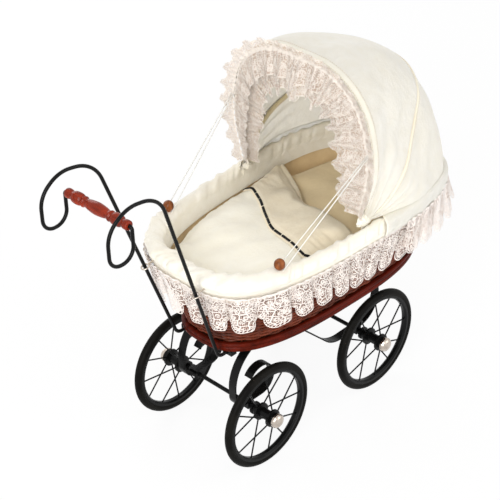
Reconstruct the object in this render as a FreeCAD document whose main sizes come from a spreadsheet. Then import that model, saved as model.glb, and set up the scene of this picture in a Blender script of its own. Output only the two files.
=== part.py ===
import FreeCAD, Part

import math
import os
from types import SimpleNamespace

import Sketcher
from FreeCAD import Placement, Rotation, Vector

# Doll stroller in the old pram style: an oval wicker basket on a wooden base board, carried by
# strap springs on two axles with four spoked wheels, pushed by two bent rods with a turned grip,
# and covered by a folding cloth hood on two wire hoops.
#
# Frame: millimetres, +X towards the hood end, +Y to the left, +Z up.
# Origin: on the ground, midway between the axles and between the wheels.

doc = FreeCAD.newDocument("doll_stroller")

# ---------------------------------------------------------------- driving dimensions
SIZES = [
    # wheels
    ("wheel_diameter", 160.0), ("tyre_section", 12.0), ("rim_depth", 6.0), ("rim_width", 10.0),
    ("wheelbase", 228.0), ("track", 179.0), ("spoke_diameter", 2.2), ("spoke_count", 12),
    ("spoke_grip_depth", 1.5),
    ("hub_inner_length", 24.0), ("hub_outer_length", 18.0), ("hub_barrel_diameter", 15.0),
    ("hub_end_diameter", 19.0), ("hub_flange_diameter", 26.0), ("hub_flange_width", 3.0),
    ("hub_flange_offset", 11.0), ("hub_cap_diameter", 21.0), ("hub_cap_height", 8.5),
    ("nut_pocket_diameter", 13.0), ("nut_pocket_depth", 7.0),
    # axles
    ("axle_diameter", 6.0), ("bearing_clearance", 0.1), ("end_play", 0.3),
    ("collar_diameter", 12.0), ("collar_width", 3.0), ("axle_nut_diameter", 10.0),
    ("axle_nut_width", 3.0),
    # springs
    ("spring_width", 13.0), ("spring_thickness", 2.0), ("spring_inset", 39.5),
    ("spring_clearance", 0.3), ("scroll_radius", 24.0), ("scroll_turn", 238.0),
    ("scroll_back", 26.0), ("heel_radius", 20.0), ("scroll_top_radius", 62.0),
    ("spring_tab_length", 16.0), ("tab_spacing", 1.5), ("bow_radius", 41.0),
    ("sweep_rise_angle", 45.0), ("sweep_radius", 50.0), ("sweep_top_radius", 20.0),
    ("bolt_diameter", 4.0), ("bolt_head_diameter", 8.0),
    ("bolt_head_height", 2.4), ("bolt_clearance", 0.1),
    ("clamp_length", 10.0), ("clamp_wall", 2.0),
    # base
    ("base_underside", 180.0), ("board_thickness", 8.0), ("moulding_height", 13.0),
    ("moulding_width", 6.0), ("moulding_round", 2.5), ("base_foot", -149.0), ("base_head", 250.0),
    ("base_half_width", 98.0), ("base_squareness", 2.8), ("base_taper", 0.08),
    # basket
    ("rim_foot", -176.0), ("rim_head", 277.0), ("rim_half_width", 126.0),
    ("rim_squareness", 3.2), ("rim_taper", 0.08), ("rim_top", 313.0), ("rim_hoop_height", 10.0),
    ("rim_hoop_width", 10.0), ("wicker_thickness", 5.0), ("fit_gap", 0.3),
    ("course_height", 11.0), ("course_depth", 1.5),
    # cloth in and on the basket
    ("liner_thickness", 2.0), ("cover_thickness", 3.2), ("cover_drop", 28.0),
    ("cover_round", 2.5), ("lace_thickness", 2.3), ("skirt_drop", 52.0), ("skirt_flare", 9.0),
    ("mattress_height", 44.0), ("bedding_gap", 6.0), ("blanket_top", 300.0),
    ("blanket_head", 110.0), ("blanket_shoulder", 9.0), ("blanket_crown", 16.0),
    ("pillow_top", 290.0), ("pillow_gap", 2.0), ("turnover_thickness", 5.5),
    ("turnover_far_foot", 42.0), ("turnover_near_foot", -24.0), ("turnover_far_head", 122.0),
    ("turnover_near_head", 78.0), ("turnover_half_width", 88.0), ("ribbon_width", 5.0),
    ("ribbon_thickness", 1.2),
    # cord knobs
    ("knob_station", -97.0), ("knob_inset", 4.2), ("knob_ball_diameter", 15.0),
    ("knob_neck_diameter", 6.5), ("knob_neck_height", 6.5), ("knob_foot_diameter", 10.0),
    ("knob_foot_height", 1.2),
    # push handle
    ("rod_diameter", 5.0), ("rod_inset", 10.0), ("rod_inner_end", -103.0),
    ("rod_heel", -153.0), ("rod_heel_radius", 12.0), ("arch_x", -256.0), ("arch_z", 495.0),
    ("arch_offset", 59.0), ("arch_radius", 50.0), ("loop_offset", 61.0), ("crown_x", -311.0),
    ("crown_z", 505.0), ("crown_radius", 44.0), ("loop_back_x", -343.0),
    ("loop_shoulder_z", 482.0), ("loop_shoulder_radius", 35.0), ("loop_bottom_z", 430.0),
    ("loop_front_x", -304.0), ("loop_radius", 18.5), ("grip_height", 474.0),
    ("rod_end_radius", 4.0),
    ("grip_length", 113.0), ("grip_diameter", 16.5), ("grip_neck_diameter", 11.0),
    ("grip_end_diameter", 13.0), ("socket_depth", 13.0), ("rod_insertion", 10.5),
    ("saddle_length", 10.0), ("saddle_width", 17.0), ("saddle_wall", 2.2),
    ("saddle_front", -112.0), ("saddle_spacing", 20.0),
    ("eye_wire", 2.4), ("eye_ring_radius", 5.0), ("eye_screw_depth", 6.0),
    # hood
    ("pivot_x", 61.0), ("pivot_rise", 4.0), ("pivot_pin_diameter", 4.0),
    ("pivot_clearance", 0.1), ("pin_head_diameter", 7.0),
    ("pin_head_width", 1.5), ("hoop_wire", 3.2), ("hoop_eye_diameter", 10.0),
    ("hoop_eye_width", 3.0), ("eye_gap", 0.5), ("plate_width", 9.0), ("plate_thickness", 1.5),
    ("plate_drop", 16.0), ("hoop_angle", 50.0), ("tail_angle", 90.0),
    ("front_shoulder_y", 129.0), ("front_shoulder_h", 94.0), ("front_top_y", 98.0),
    ("front_top_h", 215.0), ("front_shoulder_radius", 180.0), ("front_top_radius", 96.0),
    ("mid_shoulder_y", 134.0), ("mid_shoulder_h", 64.0), ("mid_top_y", 62.0),
    ("mid_top_h", 229.0), ("mid_shoulder_radius", 112.0), ("mid_top_radius", 90.0),
    ("tail_shoulder_y", 132.0), ("tail_shoulder_h", 92.0), ("tail_top_y", 100.0),
    ("tail_top_h", 208.0), ("tail_shoulder_radius", 120.0), ("tail_top_radius", 82.0),
    ("hood_cloth", 1.6), ("hood_cloth_gap", 1.0), ("hood_foot_h", 16.0), ("hem_start_x", 100.0), ("hem_drop", 25.0),
    ("hem_thickness", 2.0), ("rear_lace_drop", 50.0), ("rear_lace_flare", 18.0),
    ("front_lace_width", 12.0), ("front_lace_lean", 55.0),
    # hood cords
    ("cord_diameter", 1.5), ("cord_attach_h", 117.0), ("cord_stand_off", 3.4),
    ("cord_end_spacing", 2.6), ("cord_neck_gap", 0.3), ("tab_thickness", 1.5),
    ("tab_width", 6.0), ("tab_bite", 0.6),
]

sheet = doc.addObject("Spreadsheet::Sheet", "Sizes")
for row, (alias, number) in enumerate(SIZES, start=1):
    sheet.set("A%d" % row, alias)
    sheet.set("B%d" % row, str(number))
    sheet.setAlias("B%d" % row, alias)
doc.recompute()


class Measure:
    """A size that keeps its number together with the sheet expression that gives it."""

    def __init__(self, number, text):
        self.number = float(number)
        self.text = text

    def _join(self, other, sign, number):
        text = other.text if isinstance(other, Measure) else repr(float(other))
        return Measure(number, "(%s %s %s)" % (self.text, sign, text))

    def __add__(self, other):
        return self._join(other, "+", self.number + plain(other))

    def __sub__(self, other):
        return self._join(other, "-", self.number - plain(other))

    def __mul__(self, other):
        return self._join(other, "*", self.number * plain(other))

    def __truediv__(self, other):
        return self._join(other, "/", self.number / plain(other))

    def __neg__(self):
        return Measure(-self.number, "(-%s)" % self.text)


def plain(value):
    return value.number if isinstance(value, Measure) else float(value)


dim = SimpleNamespace(**{a: Measure(sheet.get(a), "Sizes." + a) for a, _ in SIZES})
mm = SimpleNamespace(**{a: float(sheet.get(a)) for a, _ in SIZES})
# the springs stand a fixed way inside the wheels, and the push rods inside the springs
dim.spring_offset = dim.track / 2 - dim.spring_inset
dim.rod_offset = dim.spring_offset - dim.rod_inset
mm.spring_offset, mm.rod_offset = dim.spring_offset.number, dim.rod_offset.number
nothing = Measure(0.0, "0")
sub_parts = []


def bind(item, **measures):
    """Set properties and tie each to the sheet; a dot in a name is written as two underscores."""
    for name, measure in measures.items():
        item.setExpression(name.replace("__", "."), measure.text)


def keep(item, label):
    """Mark an object as one of the sub-parts that are written out."""
    item.Label = label
    sub_parts.append(item)
    return item


def place(item, x=nothing, y=nothing, z=nothing, rotation=None):
    turn = rotation or Rotation()
    item.Placement = Placement(Vector(plain(x), plain(y), plain(z)), turn)
    bind(item, Placement__Base__x=x, Placement__Base__y=y, Placement__Base__z=z)
    return item


def solid_feature(name, shape):
    item = doc.addObject("Part::Feature", name)
    item.Shape = shape
    return item


def cylinder(name, diameter, height):
    item = doc.addObject("Part::Cylinder", name)
    bind(item, Radius=diameter / 2, Height=height)
    return item


def block(name, length, width, height):
    item = doc.addObject("Part::Box", name)
    bind(item, Length=length, Width=width, Height=height)
    return item


def fused(name, pieces):
    item = doc.addObject("Part::MultiFuse", name)
    item.Shapes = pieces
    return item


def cut(name, base, tool):
    item = doc.addObject("Part::Cut", name)
    item.Base = base
    item.Tool = tool
    return item


def turned_body(name, profile):
    """A body turned about its Z axis from a closed profile of (radius, height) measures."""
    body = doc.addObject("PartDesign::Body", name)
    sketch = body.newObject("Sketcher::SketchObject", name + "_profile")
    plane = [f for f in body.Origin.OriginFeatures if f.Role == "XZ_Plane"][0]
    sketch.AttachmentSupport = (plane, [""])
    sketch.MapMode = "FlatFace"
    count = len(profile)
    for i in range(count):
        start, end = profile[i], profile[(i + 1) % count]
        sketch.addGeometry(Part.LineSegment(Vector(plain(start[0]), plain(start[1]), 0),
                                            Vector(plain(end[0]), plain(end[1]), 0)), False)
    for i in range(count):
        sketch.addConstraint(Sketcher.Constraint("Coincident", i, 2, (i + 1) % count, 1))
    for i, (radius, height) in enumerate(profile):
        for kind, axis, measure in (("DistanceX", -2, radius), ("DistanceY", -1, height)):
            if measure is nothing:
                sketch.addConstraint(Sketcher.Constraint("PointOnObject", i, 1, axis))
                continue
            sketch.addConstraint(Sketcher.Constraint(kind, -1, 1, i, 1, measure.number))
            constraint = "%s_%d" % (kind, i)
            sketch.renameConstraint(sketch.ConstraintCount - 1, constraint)
            sketch.setExpression("Constraints." + constraint, measure.text)
    turning = body.newObject("PartDesign::Revolution", name + "_turning")
    turning.Profile = sketch
    turning.ReferenceAxis = (sketch, ["V_Axis"])
    turning.Angle = 360
    return body


# ---------------------------------------------------------------- wires and lofts
def rounded_path(corners, radii):
    """Straight runs joined by tangent arcs; radii are those of the inner corners in order."""
    points = [Vector(*c) for c in corners]
    edges = []
    start = points[0]
    for corner, after, radius in zip(points[1:-1], points[2:], radii):
        incoming = (corner - start).normalize()
        outgoing = (after - corner).normalize()
        half_turn = incoming.getAngle(outgoing) / 2
        reach = radius * math.tan(half_turn)
        arc_start = corner - incoming * reach
        arc_end = corner + outgoing * reach
        inward = (outgoing - incoming).normalize()
        arc_middle = corner + inward * (radius / math.cos(half_turn) - radius)
        if (arc_start - start).Length > 1e-4:
            edges.append(Part.LineSegment(start, arc_start).toShape())
        edges.append(Part.Arc(arc_start, arc_middle, arc_end).toShape())
        start = arc_end
    edges.append(Part.LineSegment(start, points[-1]).toShape())
    return Part.Wire(edges)


def tube_along(path, diameter):
    first = path.Edges[0]
    start = first.valueAt(first.FirstParameter)
    heading = first.tangentAt(first.FirstParameter)
    section = Part.Wire([Part.Circle(start, heading, diameter / 2).toShape()])
    return path.makePipeShell([section], True, True)


def strap_along(corners, radii, width, thickness, middle_y):
    """A flat strap bent in an X-Z plane, its width along Y."""
    path = rounded_path([(x, middle_y, z) for x, z in corners], radii)
    start = path.Vertexes[0].Point
    across = Vector(0, width / 2, 0)
    heading = path.Edges[0].tangentAt(path.Edges[0].FirstParameter)
    up = heading.cross(Vector(0, 1, 0)).normalize() * (thickness / 2)
    ring = [start + across + up, start - across + up, start - across - up, start + across - up]
    section = Part.makePolygon(ring + ring[:1])
    return path.makePipeShell([section], True, False)


OUTLINE_POINTS = 40


def outline(foot, head, half_width, squareness, taper):
    """Points of a squared oval in plan, symmetric about X and wider towards its head."""
    middle, reach = (foot + head) / 2, (head - foot) / 2
    points = []
    for i in range(OUTLINE_POINTS):
        turn = 2 * math.pi * i / OUTLINE_POINTS
        along = math.copysign(abs(math.cos(turn)) ** (2 / squareness), math.cos(turn))
        across = math.copysign(abs(math.sin(turn)) ** (2 / squareness), math.sin(turn))
        points.append((middle + reach * along, half_width * across * (1 + taper * along)))
    return points


def base_outline(offset):
    return outline(mm.base_foot - offset, mm.base_head + offset, mm.base_half_width + offset,
                   mm.base_squareness, mm.base_taper)


def rim_outline(offset):
    return outline(mm.rim_foot - offset, mm.rim_head + offset, mm.rim_half_width + offset,
                   mm.rim_squareness, mm.rim_taper)


board_top = mm.base_underside + mm.board_thickness
wall_top = mm.rim_top - mm.rim_hoop_height
moulding_seat = -(mm.moulding_width + mm.fit_gap)
wall_spread = max(math.dist(low, high) for low, high in zip(base_outline(moulding_seat),
                                                            rim_outline(0.0)))
wall_flare = wall_spread / (wall_top - board_top)
wall_foot = moulding_seat - (mm.moulding_height - mm.board_thickness) * wall_flare


def basket_outline(height, offset):
    """The basket's outer face at a height, moved outward by an offset."""
    share = min((height - board_top) / (wall_top - board_top), 1.0)
    low = base_outline(wall_foot + offset)
    high = rim_outline(offset)
    return [(a[0] + (b[0] - a[0]) * share, a[1] + (b[1] - a[1]) * share)
            for a, b in zip(low, high)]


def ring_wire(points, height):
    curve = Part.BSplineCurve()
    curve.interpolate([Vector(x, y, height) for x, y in points], PeriodicFlag=True)
    return Part.Wire([curve.toShape()])


def basket_loft(levels):
    """A solid through the basket's outlines at (height, offset) levels."""
    wires = [ring_wire(basket_outline(height, offset), height) for height, offset in levels]
    return Part.makeLoft(wires, True, True)


def basket_half_width(x, height, offset):
    """How far the basket's outer face lies from the middle plane at a station."""
    points = basket_outline(height, offset)[:OUTLINE_POINTS // 2 + 1]
    for (x0, y0), (x1, y1) in zip(points, points[1:]):
        if x1 <= x <= x0:
            return y0 + (y1 - y0) * (x0 - x) / (x0 - x1)
    return 0.0


def slab(x_low, x_high, z_low, z_high):
    """A wide block used to trim a loft to a span of its length."""
    reach = 2 * mm.rim_half_width
    return Part.makeBox(x_high - x_low, 2 * reach, z_high - z_low, Vector(x_low, -reach, z_low))


# ---------------------------------------------------------------- wheels
def wheel(name, x, side):
    """Tyre, rim, spokes, hub and cap of one wheel; side is +1 on the left and -1 on the right."""
    outward = Rotation(Vector(1, 0, 0), -90 * side)
    wheel_plane = (dim.track / 2) * side
    inner_end = (dim.track / 2 - dim.hub_inner_length) * side
    outer_end = (dim.track / 2 + dim.hub_outer_length) * side
    axle_height = dim.wheel_diameter / 2

    tyre = doc.addObject("Part::Torus", name + "_tyre_ring")
    bind(tyre, Radius1=dim.wheel_diameter / 2 - dim.tyre_section / 2, Radius2=dim.tyre_section / 2)
    keep(place(tyre, x, wheel_plane, axle_height, outward), name + "_tyre")

    seat = dim.wheel_diameter / 2 - dim.tyre_section
    rim_outer = seat + dim.rim_depth / 2
    rim_inner = seat - dim.rim_depth / 2
    half_rim = dim.rim_width / 2
    band = turned_body(name + "_rim_band", [
        (rim_inner, half_rim / 2), (rim_inner + dim.rim_depth / 3, nothing), (rim_outer, nothing),
        (rim_outer, dim.rim_width), (rim_inner + dim.rim_depth / 3, dim.rim_width),
        (rim_inner, dim.rim_width - half_rim / 2)])
    place(band, x, wheel_plane - half_rim * side, axle_height, outward)
    groove = doc.addObject("Part::Torus", name + "_rim_groove")
    bind(groove, Radius1=dim.wheel_diameter / 2 - dim.tyre_section / 2,
         Radius2=dim.tyre_section / 2 + dim.bearing_clearance)
    place(groove, x, wheel_plane, axle_height, outward)
    keep(cut(name + "_grooved_rim", band, groove), name + "_rim")

    flange = dim.hub_flange_diameter / 2
    barrel = dim.hub_barrel_diameter / 2
    end = dim.hub_end_diameter / 2
    bore = dim.axle_diameter / 2 + dim.bearing_clearance
    pocket = dim.nut_pocket_diameter / 2
    length = dim.hub_inner_length + dim.hub_outer_length
    flange_1 = dim.hub_inner_length - dim.hub_flange_offset - dim.hub_flange_width / 2
    flange_2 = dim.hub_inner_length + dim.hub_flange_offset - dim.hub_flange_width / 2
    width = dim.hub_flange_width
    hub = turned_body(name + "_hub_turning", [
        (bore, nothing), (end, nothing), (end, width), (barrel, width * 1.5),
        (barrel, flange_1 - width / 3), (flange, flange_1), (flange, flange_1 + width),
        (barrel, flange_1 + width * 1.33), (barrel, flange_2 - width / 3), (flange, flange_2),
        (flange, flange_2 + width), (end, flange_2 + width * 1.33), (end, length),
        (pocket, length), (pocket, length - dim.nut_pocket_depth),
        (bore, length - dim.nut_pocket_depth)])
    keep(place(hub, x, inner_end, axle_height, outward), name + "_hub")

    cap_radius = dim.hub_cap_diameter / 2
    cap = turned_body(name + "_cap_turning", [
        (nothing, nothing), (cap_radius, nothing), (cap_radius, dim.hub_cap_height * 0.35),
        (cap_radius * 0.9, dim.hub_cap_height * 0.62), (cap_radius * 0.68, dim.hub_cap_height * 0.84),
        (cap_radius * 0.36, dim.hub_cap_height * 0.97), (nothing, dim.hub_cap_height)])
    keep(place(cap, x, outer_end, axle_height, outward), name + "_cap")

    spokes = []
    count = int(mm.spoke_count)
    root_radius = mm.hub_flange_diameter / 2 - mm.spoke_grip_depth
    tip_radius = rim_inner.number + mm.spoke_grip_depth
    centre = Vector(plain(x), wheel_plane.number, axle_height.number)
    for i in range(count):
        angle = 2 * math.pi * i / count
        ray = Vector(math.cos(angle), 0, math.sin(angle))
        lean = Vector(0, mm.hub_flange_offset * (1 if i % 2 else -1) * side, 0)
        start = centre + ray * root_radius + lean
        end_point = centre + ray * tip_radius
        run = end_point - start
        spokes.append(Part.makeCylinder(mm.spoke_diameter / 2, run.Length, start, run))
    keep(solid_feature(name + "_spoke_set", Part.makeCompound(spokes)), name + "_spokes")


half_base = dim.wheelbase / 2
for end_name, station in (("foot", -half_base), ("head", half_base)):
    for side_name, side in (("left", 1), ("right", -1)):
        wheel("wheel_%s_%s" % (end_name, side_name), station, side)


# ---------------------------------------------------------------- axles and their fastenings
strap_low = mm.wheel_diameter / 2 + mm.axle_diameter / 2
strap_middle = strap_low + mm.spring_thickness / 2
to_left = Rotation(Vector(1, 0, 0), -90)


def axle(name, x):
    """A shaft with two collars, its end nuts and the clamps that tie it to the springs."""
    height = dim.wheel_diameter / 2
    reach = dim.track / 2 + dim.hub_outer_length - dim.nut_pocket_depth
    half_shaft = reach + dim.end_play + dim.axle_nut_width
    shaft = cylinder(name + "_shaft", dim.axle_diameter, half_shaft * 2)
    place(shaft, x, -half_shaft, height, to_left)
    collar_near = dim.track / 2 - dim.hub_inner_length - dim.end_play - dim.collar_width
    collars = []
    for side_name, start in (("left", collar_near), ("right", -(collar_near + dim.collar_width))):
        collar = cylinder("%s_collar_%s" % (name, side_name), dim.collar_diameter,
                          dim.collar_width)
        collars.append(place(collar, x, start, height, to_left))
    keep(fused(name + "_turned", [shaft] + collars), name)

    fastenings = []
    nut_start = reach + dim.end_play
    for side_name, start in (("left", nut_start), ("right", -(nut_start + dim.axle_nut_width))):
        nut = cylinder("%s_nut_%s" % (name, side_name), dim.axle_nut_diameter, dim.axle_nut_width)
        place(nut, x, start, height, to_left)
        bore = cylinder("%s_nut_bore_%s" % (name, side_name), dim.axle_diameter,
                        dim.axle_nut_width)
        place(bore, x, start, height, to_left)
        fastenings.append(cut("%s_end_nut_%s" % (name, side_name), nut, bore))
    clamp_depth = dim.axle_diameter / 2 + dim.clamp_wall
    slot_width = dim.spring_width + dim.spring_clearance * 2
    slot_height = dim.spring_thickness + dim.spring_clearance
    clamp_width = slot_width + dim.clamp_wall * 2
    clamp_height = clamp_depth + dim.axle_diameter / 2 + slot_height + dim.clamp_wall
    for side_name, middle in (("left", dim.spring_offset), ("right", -dim.spring_offset)):
        body = block("%s_clamp_block_%s" % (name, side_name), dim.clamp_length, clamp_width,
                     clamp_height)
        place(body, -(dim.clamp_length / 2) + x, middle - clamp_width / 2, height - clamp_depth)
        bore = cylinder("%s_clamp_bore_%s" % (name, side_name), dim.axle_diameter, clamp_width)
        place(bore, x, middle - clamp_width / 2, height, to_left)
        slot = block("%s_clamp_slot_%s" % (name, side_name), dim.clamp_length, slot_width,
                     slot_height)
        place(slot, -(dim.clamp_length / 2) + x, middle - slot_width / 2,
              height + dim.axle_diameter / 2)
        room = fused("%s_clamp_room_%s" % (name, side_name), [bore, slot])
        fastenings.append(cut("%s_clamp_%s" % (name, side_name), body, room))
    group = doc.addObject("Part::Compound", name + "_fastening_set")
    group.Links = fastenings
    keep(group, name + "_fasteners")


axle("axle_foot", -half_base)
axle("axle_head", half_base)

# ---------------------------------------------------------------- strap springs under the base
tab_middle = mm.base_underside - mm.spring_thickness / 2
foot_x = -mm.wheelbase / 2
head_x = mm.wheelbase / 2
rise = tab_middle - strap_middle
tab_end = (foot_x - mm.clamp_length / 2 - mm.heel_radius + mm.scroll_top_radius
           + mm.spring_tab_length)
bolt_spots = []


def bolted(shape, spots, diameter, z_low, z_high):
    """The shape with a round hole through it at each (x, y) spot."""
    for x, y in spots:
        drill = Part.makeCylinder(diameter / 2, z_high - z_low, Vector(x, y, z_low))
        shape = shape.cut(drill)
    return shape


def scroll_spring(side):
    """Handle end: a C from under the base round to the axle, ending in an upturned scroll."""
    back = foot_x + mm.scroll_back
    heel = foot_x - mm.clamp_length / 2 - mm.heel_radius
    outline_corners = [(tab_end, tab_middle), (heel, tab_middle), (heel, strap_middle)]
    scroll_middle = (back, strap_middle + mm.scroll_radius)
    first = rounded_path([(x, side * mm.spring_offset, z) for x, z in outline_corners]
                         + [(back, side * mm.spring_offset, strap_middle)],
                         [mm.scroll_top_radius, mm.heel_radius])
    turn = math.radians(mm.scroll_turn)

    def on_scroll(angle):
        return Vector(scroll_middle[0] + mm.scroll_radius * math.sin(angle),
                      side * mm.spring_offset,
                      scroll_middle[1] - mm.scroll_radius * math.cos(angle))

    curl = Part.Arc(on_scroll(0), on_scroll(turn / 2), on_scroll(turn)).toShape()
    path = Part.Wire(list(first.Edges) + [curl])
    start = Vector(tab_end, side * mm.spring_offset, tab_middle)
    half = Vector(0, mm.spring_width / 2, 0)
    up = Vector(0, 0, mm.spring_thickness / 2)
    ring = [start + half + up, start - half + up, start - half - up, start + half - up]
    strap = path.makePipeShell([Part.makePolygon(ring + ring[:1])], True, False)
    spot = (tab_end - mm.spring_tab_length / 2, side * mm.spring_offset)
    bolt_spots.append(spot)
    return bolted(strap, [spot], mm.bolt_diameter + 2 * mm.bolt_clearance,
                  tab_middle - mm.spring_thickness, tab_middle + mm.spring_thickness)


def sweep_spring(side):
    """Hood end: a bow from under the base to the axle, then a long sweep up to the base."""
    slope = math.radians(mm.sweep_rise_angle)
    inner_end = tab_end + mm.tab_spacing
    top_corner = (inner_end + mm.spring_tab_length
                  + mm.sweep_top_radius * math.tan(slope / 2))
    corner = top_corner + rise / math.tan(slope)
    bow_start = head_x + mm.clamp_length / 2
    bow_top = rise - mm.bow_radius
    outer_end = bow_start + mm.bow_radius - bow_top - mm.spring_tab_length
    corners = [(outer_end, tab_middle), (bow_start + mm.bow_radius, tab_middle),
               (bow_start + mm.bow_radius, strap_middle), (corner, strap_middle),
               (top_corner, tab_middle), (inner_end, tab_middle)]
    radii = [bow_top, mm.bow_radius, mm.sweep_radius, mm.sweep_top_radius]
    strap = strap_along(corners, radii, mm.spring_width, mm.spring_thickness,
                        side * mm.spring_offset)
    spots = [(outer_end + mm.spring_tab_length / 2, side * mm.spring_offset),
             (inner_end + mm.spring_tab_length / 2, side * mm.spring_offset)]
    bolt_spots.extend(spots)
    return bolted(strap, spots, mm.bolt_diameter + 2 * mm.bolt_clearance,
                  tab_middle - mm.spring_thickness, tab_middle + mm.spring_thickness)


for side_name, side in (("left", 1), ("right", -1)):
    keep(solid_feature("scroll_" + side_name, scroll_spring(side)), "spring_foot_" + side_name)
    keep(solid_feature("sweep_" + side_name, sweep_spring(side)), "spring_head_" + side_name)

bolt_low = mm.base_underside - mm.spring_thickness
bolts = []
for x, y in bolt_spots:
    head = Part.makeCylinder(mm.bolt_head_diameter / 2, mm.bolt_head_height,
                             Vector(x, y, bolt_low - mm.bolt_head_height))
    head = head.makeChamfer(mm.bolt_head_height / 3, [e for e in head.Edges
                                                      if e.CenterOfMass.z < bolt_low
                                                      - mm.bolt_head_height + 0.01
                                                      and len(e.Vertexes) == 1])
    shank = Part.makeCylinder(mm.bolt_diameter / 2, board_top - bolt_low, Vector(x, y, bolt_low))
    bolts.append(head.fuse(shank).removeSplitter())
keep(solid_feature("bolt_set", Part.makeCompound(bolts)), "spring_bolts")

# ---------------------------------------------------------------- base and basket
moulding_outer = Part.makeLoft(
    [ring_wire(base_outline(offset), mm.base_underside + height) for height, offset in (
        (0.0, -mm.moulding_round), (mm.moulding_round, 0.0),
        (mm.moulding_height - mm.moulding_round, 0.0), (mm.moulding_height, -mm.moulding_round))],
    True, True)
board = Part.makeLoft([ring_wire(base_outline(-mm.moulding_width), z)
                       for z in (mm.base_underside, board_top)], True, True)
moulding_room = Part.makeLoft([ring_wire(base_outline(-mm.moulding_width), z) for z in (
    mm.base_underside - 1, mm.base_underside + mm.moulding_height + 1)], True, True)
keep(solid_feature("board", bolted(board, bolt_spots, mm.bolt_diameter + 2 * mm.bolt_clearance,
                                   mm.base_underside - 1, board_top + 1)), "base_board")
keep(solid_feature("moulding", moulding_outer.cut(moulding_room)), "base_moulding")

course_count = 2 * round((wall_top - board_top) / (2 * mm.course_height))
course_step = (wall_top - board_top) / course_count
basket = basket_loft([(board_top + course_step * k, -mm.course_depth * (k % 2))
                      for k in range(course_count + 1)])
basket_room = basket_loft([(z, -mm.wicker_thickness) for z in (board_top - 1, wall_top,
                                                               wall_top + 1)])
keep(solid_feature("wicker_wall", basket.cut(basket_room)), "wicker_basket")

hoop_ring = basket_loft([(wall_top, 0), (mm.rim_top, 0)]).cut(
    basket_loft([(wall_top - 1, -mm.rim_hoop_width), (mm.rim_top + 1, -mm.rim_hoop_width)]))
keep(solid_feature("rim_ring", hoop_ring), "rim_hoop")

# cloth cover folded over the rim, seen as a plain band above the lace
cover_outer = mm.fit_gap + mm.cover_thickness
cover_inner = -(mm.rim_hoop_width + mm.fit_gap + mm.cover_thickness)
cover_top = mm.rim_top + mm.fit_gap + mm.cover_thickness
cover_low = mm.rim_top - mm.cover_drop
cover = basket_loft([(cover_low, cover_outer), (wall_top, cover_outer),
                     (cover_top - mm.cover_round, cover_outer),
                     (cover_top, cover_outer - mm.cover_round)])
cover = cover.cut(basket_loft([(cover_low - 1, cover_inner), (wall_top, cover_inner),
                               (cover_top + 1, cover_inner)]))
cover_room = basket_loft([(cover_low - 1, mm.fit_gap), (wall_top, mm.fit_gap),
                          (mm.rim_top + mm.fit_gap, mm.fit_gap)])
cover_core = basket_loft([(cover_low - 2, -mm.rim_hoop_width - mm.fit_gap),
                          (wall_top, -mm.rim_hoop_width - mm.fit_gap),
                          (mm.rim_top + 1, -mm.rim_hoop_width - mm.fit_gap)])
keep(solid_feature("cover_band", cover.cut(cover_room.cut(cover_core))), "rim_cover")

# lining, a cloth bag just inside the wicker wall
liner_outer = -(mm.wicker_thickness + mm.fit_gap)
liner_inner = liner_outer - mm.liner_thickness
liner_top = cover_low - mm.fit_gap
liner_floor = board_top + mm.liner_thickness
liner = basket_loft([(board_top, liner_outer), (liner_top, liner_outer)]).cut(
    basket_loft([(liner_floor, liner_inner), (liner_top + 1, liner_inner)]))
keep(solid_feature("lining", liner), "basket_liner")


def lace_ring(z_high, z_low, offset, flare):
    """A band of lace that hangs from a height and stands out by its flare at the lower edge."""
    thick = mm.lace_thickness
    outer = basket_loft([(z_low, offset + flare + thick), (z_high, offset + thick)])
    inner = basket_loft([(z_low - 1, offset + flare * (1 + 1 / (z_high - z_low))),
                         (z_high + 1, offset - flare / (z_high - z_low))])
    return outer.cut(inner)


skirt_top = cover_low - mm.fit_gap
skirt = lace_ring(skirt_top, skirt_top - mm.skirt_drop, cover_outer, mm.skirt_flare)
keep(solid_feature("lace_skirt", skirt), "skirt_lace")

# ---------------------------------------------------------------- bedding
mattress_top = liner_floor + mm.mattress_height
bed_offset = liner_inner - 2 * mm.fit_gap
keep(solid_feature("pad", basket_loft([(liner_floor, bed_offset), (mattress_top, bed_offset)])),
     "mattress")

bed_edge = cover_inner - mm.bedding_gap
blanket_low = mattress_top + mm.fit_gap
blanket = basket_loft([(blanket_low, bed_edge), (mm.blanket_top - mm.blanket_shoulder, bed_edge),
                       (mm.blanket_top, bed_edge - mm.blanket_crown)])
keep(solid_feature("quilt", blanket.common(slab(mm.rim_foot, mm.blanket_head, blanket_low,
                                                mm.blanket_top))), "blanket")

pillow_middle = (blanket_low + mm.pillow_top) / 2
pillow = basket_loft([(blanket_low, bed_edge - mm.blanket_crown), (pillow_middle, bed_edge),
                      (mm.pillow_top, bed_edge - 2 * mm.blanket_crown)])
keep(solid_feature("head_pillow", pillow.common(slab(mm.blanket_head + mm.pillow_gap, mm.rim_head,
                                                     blanket_low, mm.pillow_top))), "pillow")


def sheet_on_blanket(corners, thickness):
    low = mm.blanket_top + mm.fit_gap
    face = Part.Face(Part.makePolygon([Vector(x, y, low) for x, y in corners + corners[:1]]))
    return face.extrude(Vector(0, 0, thickness))


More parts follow.
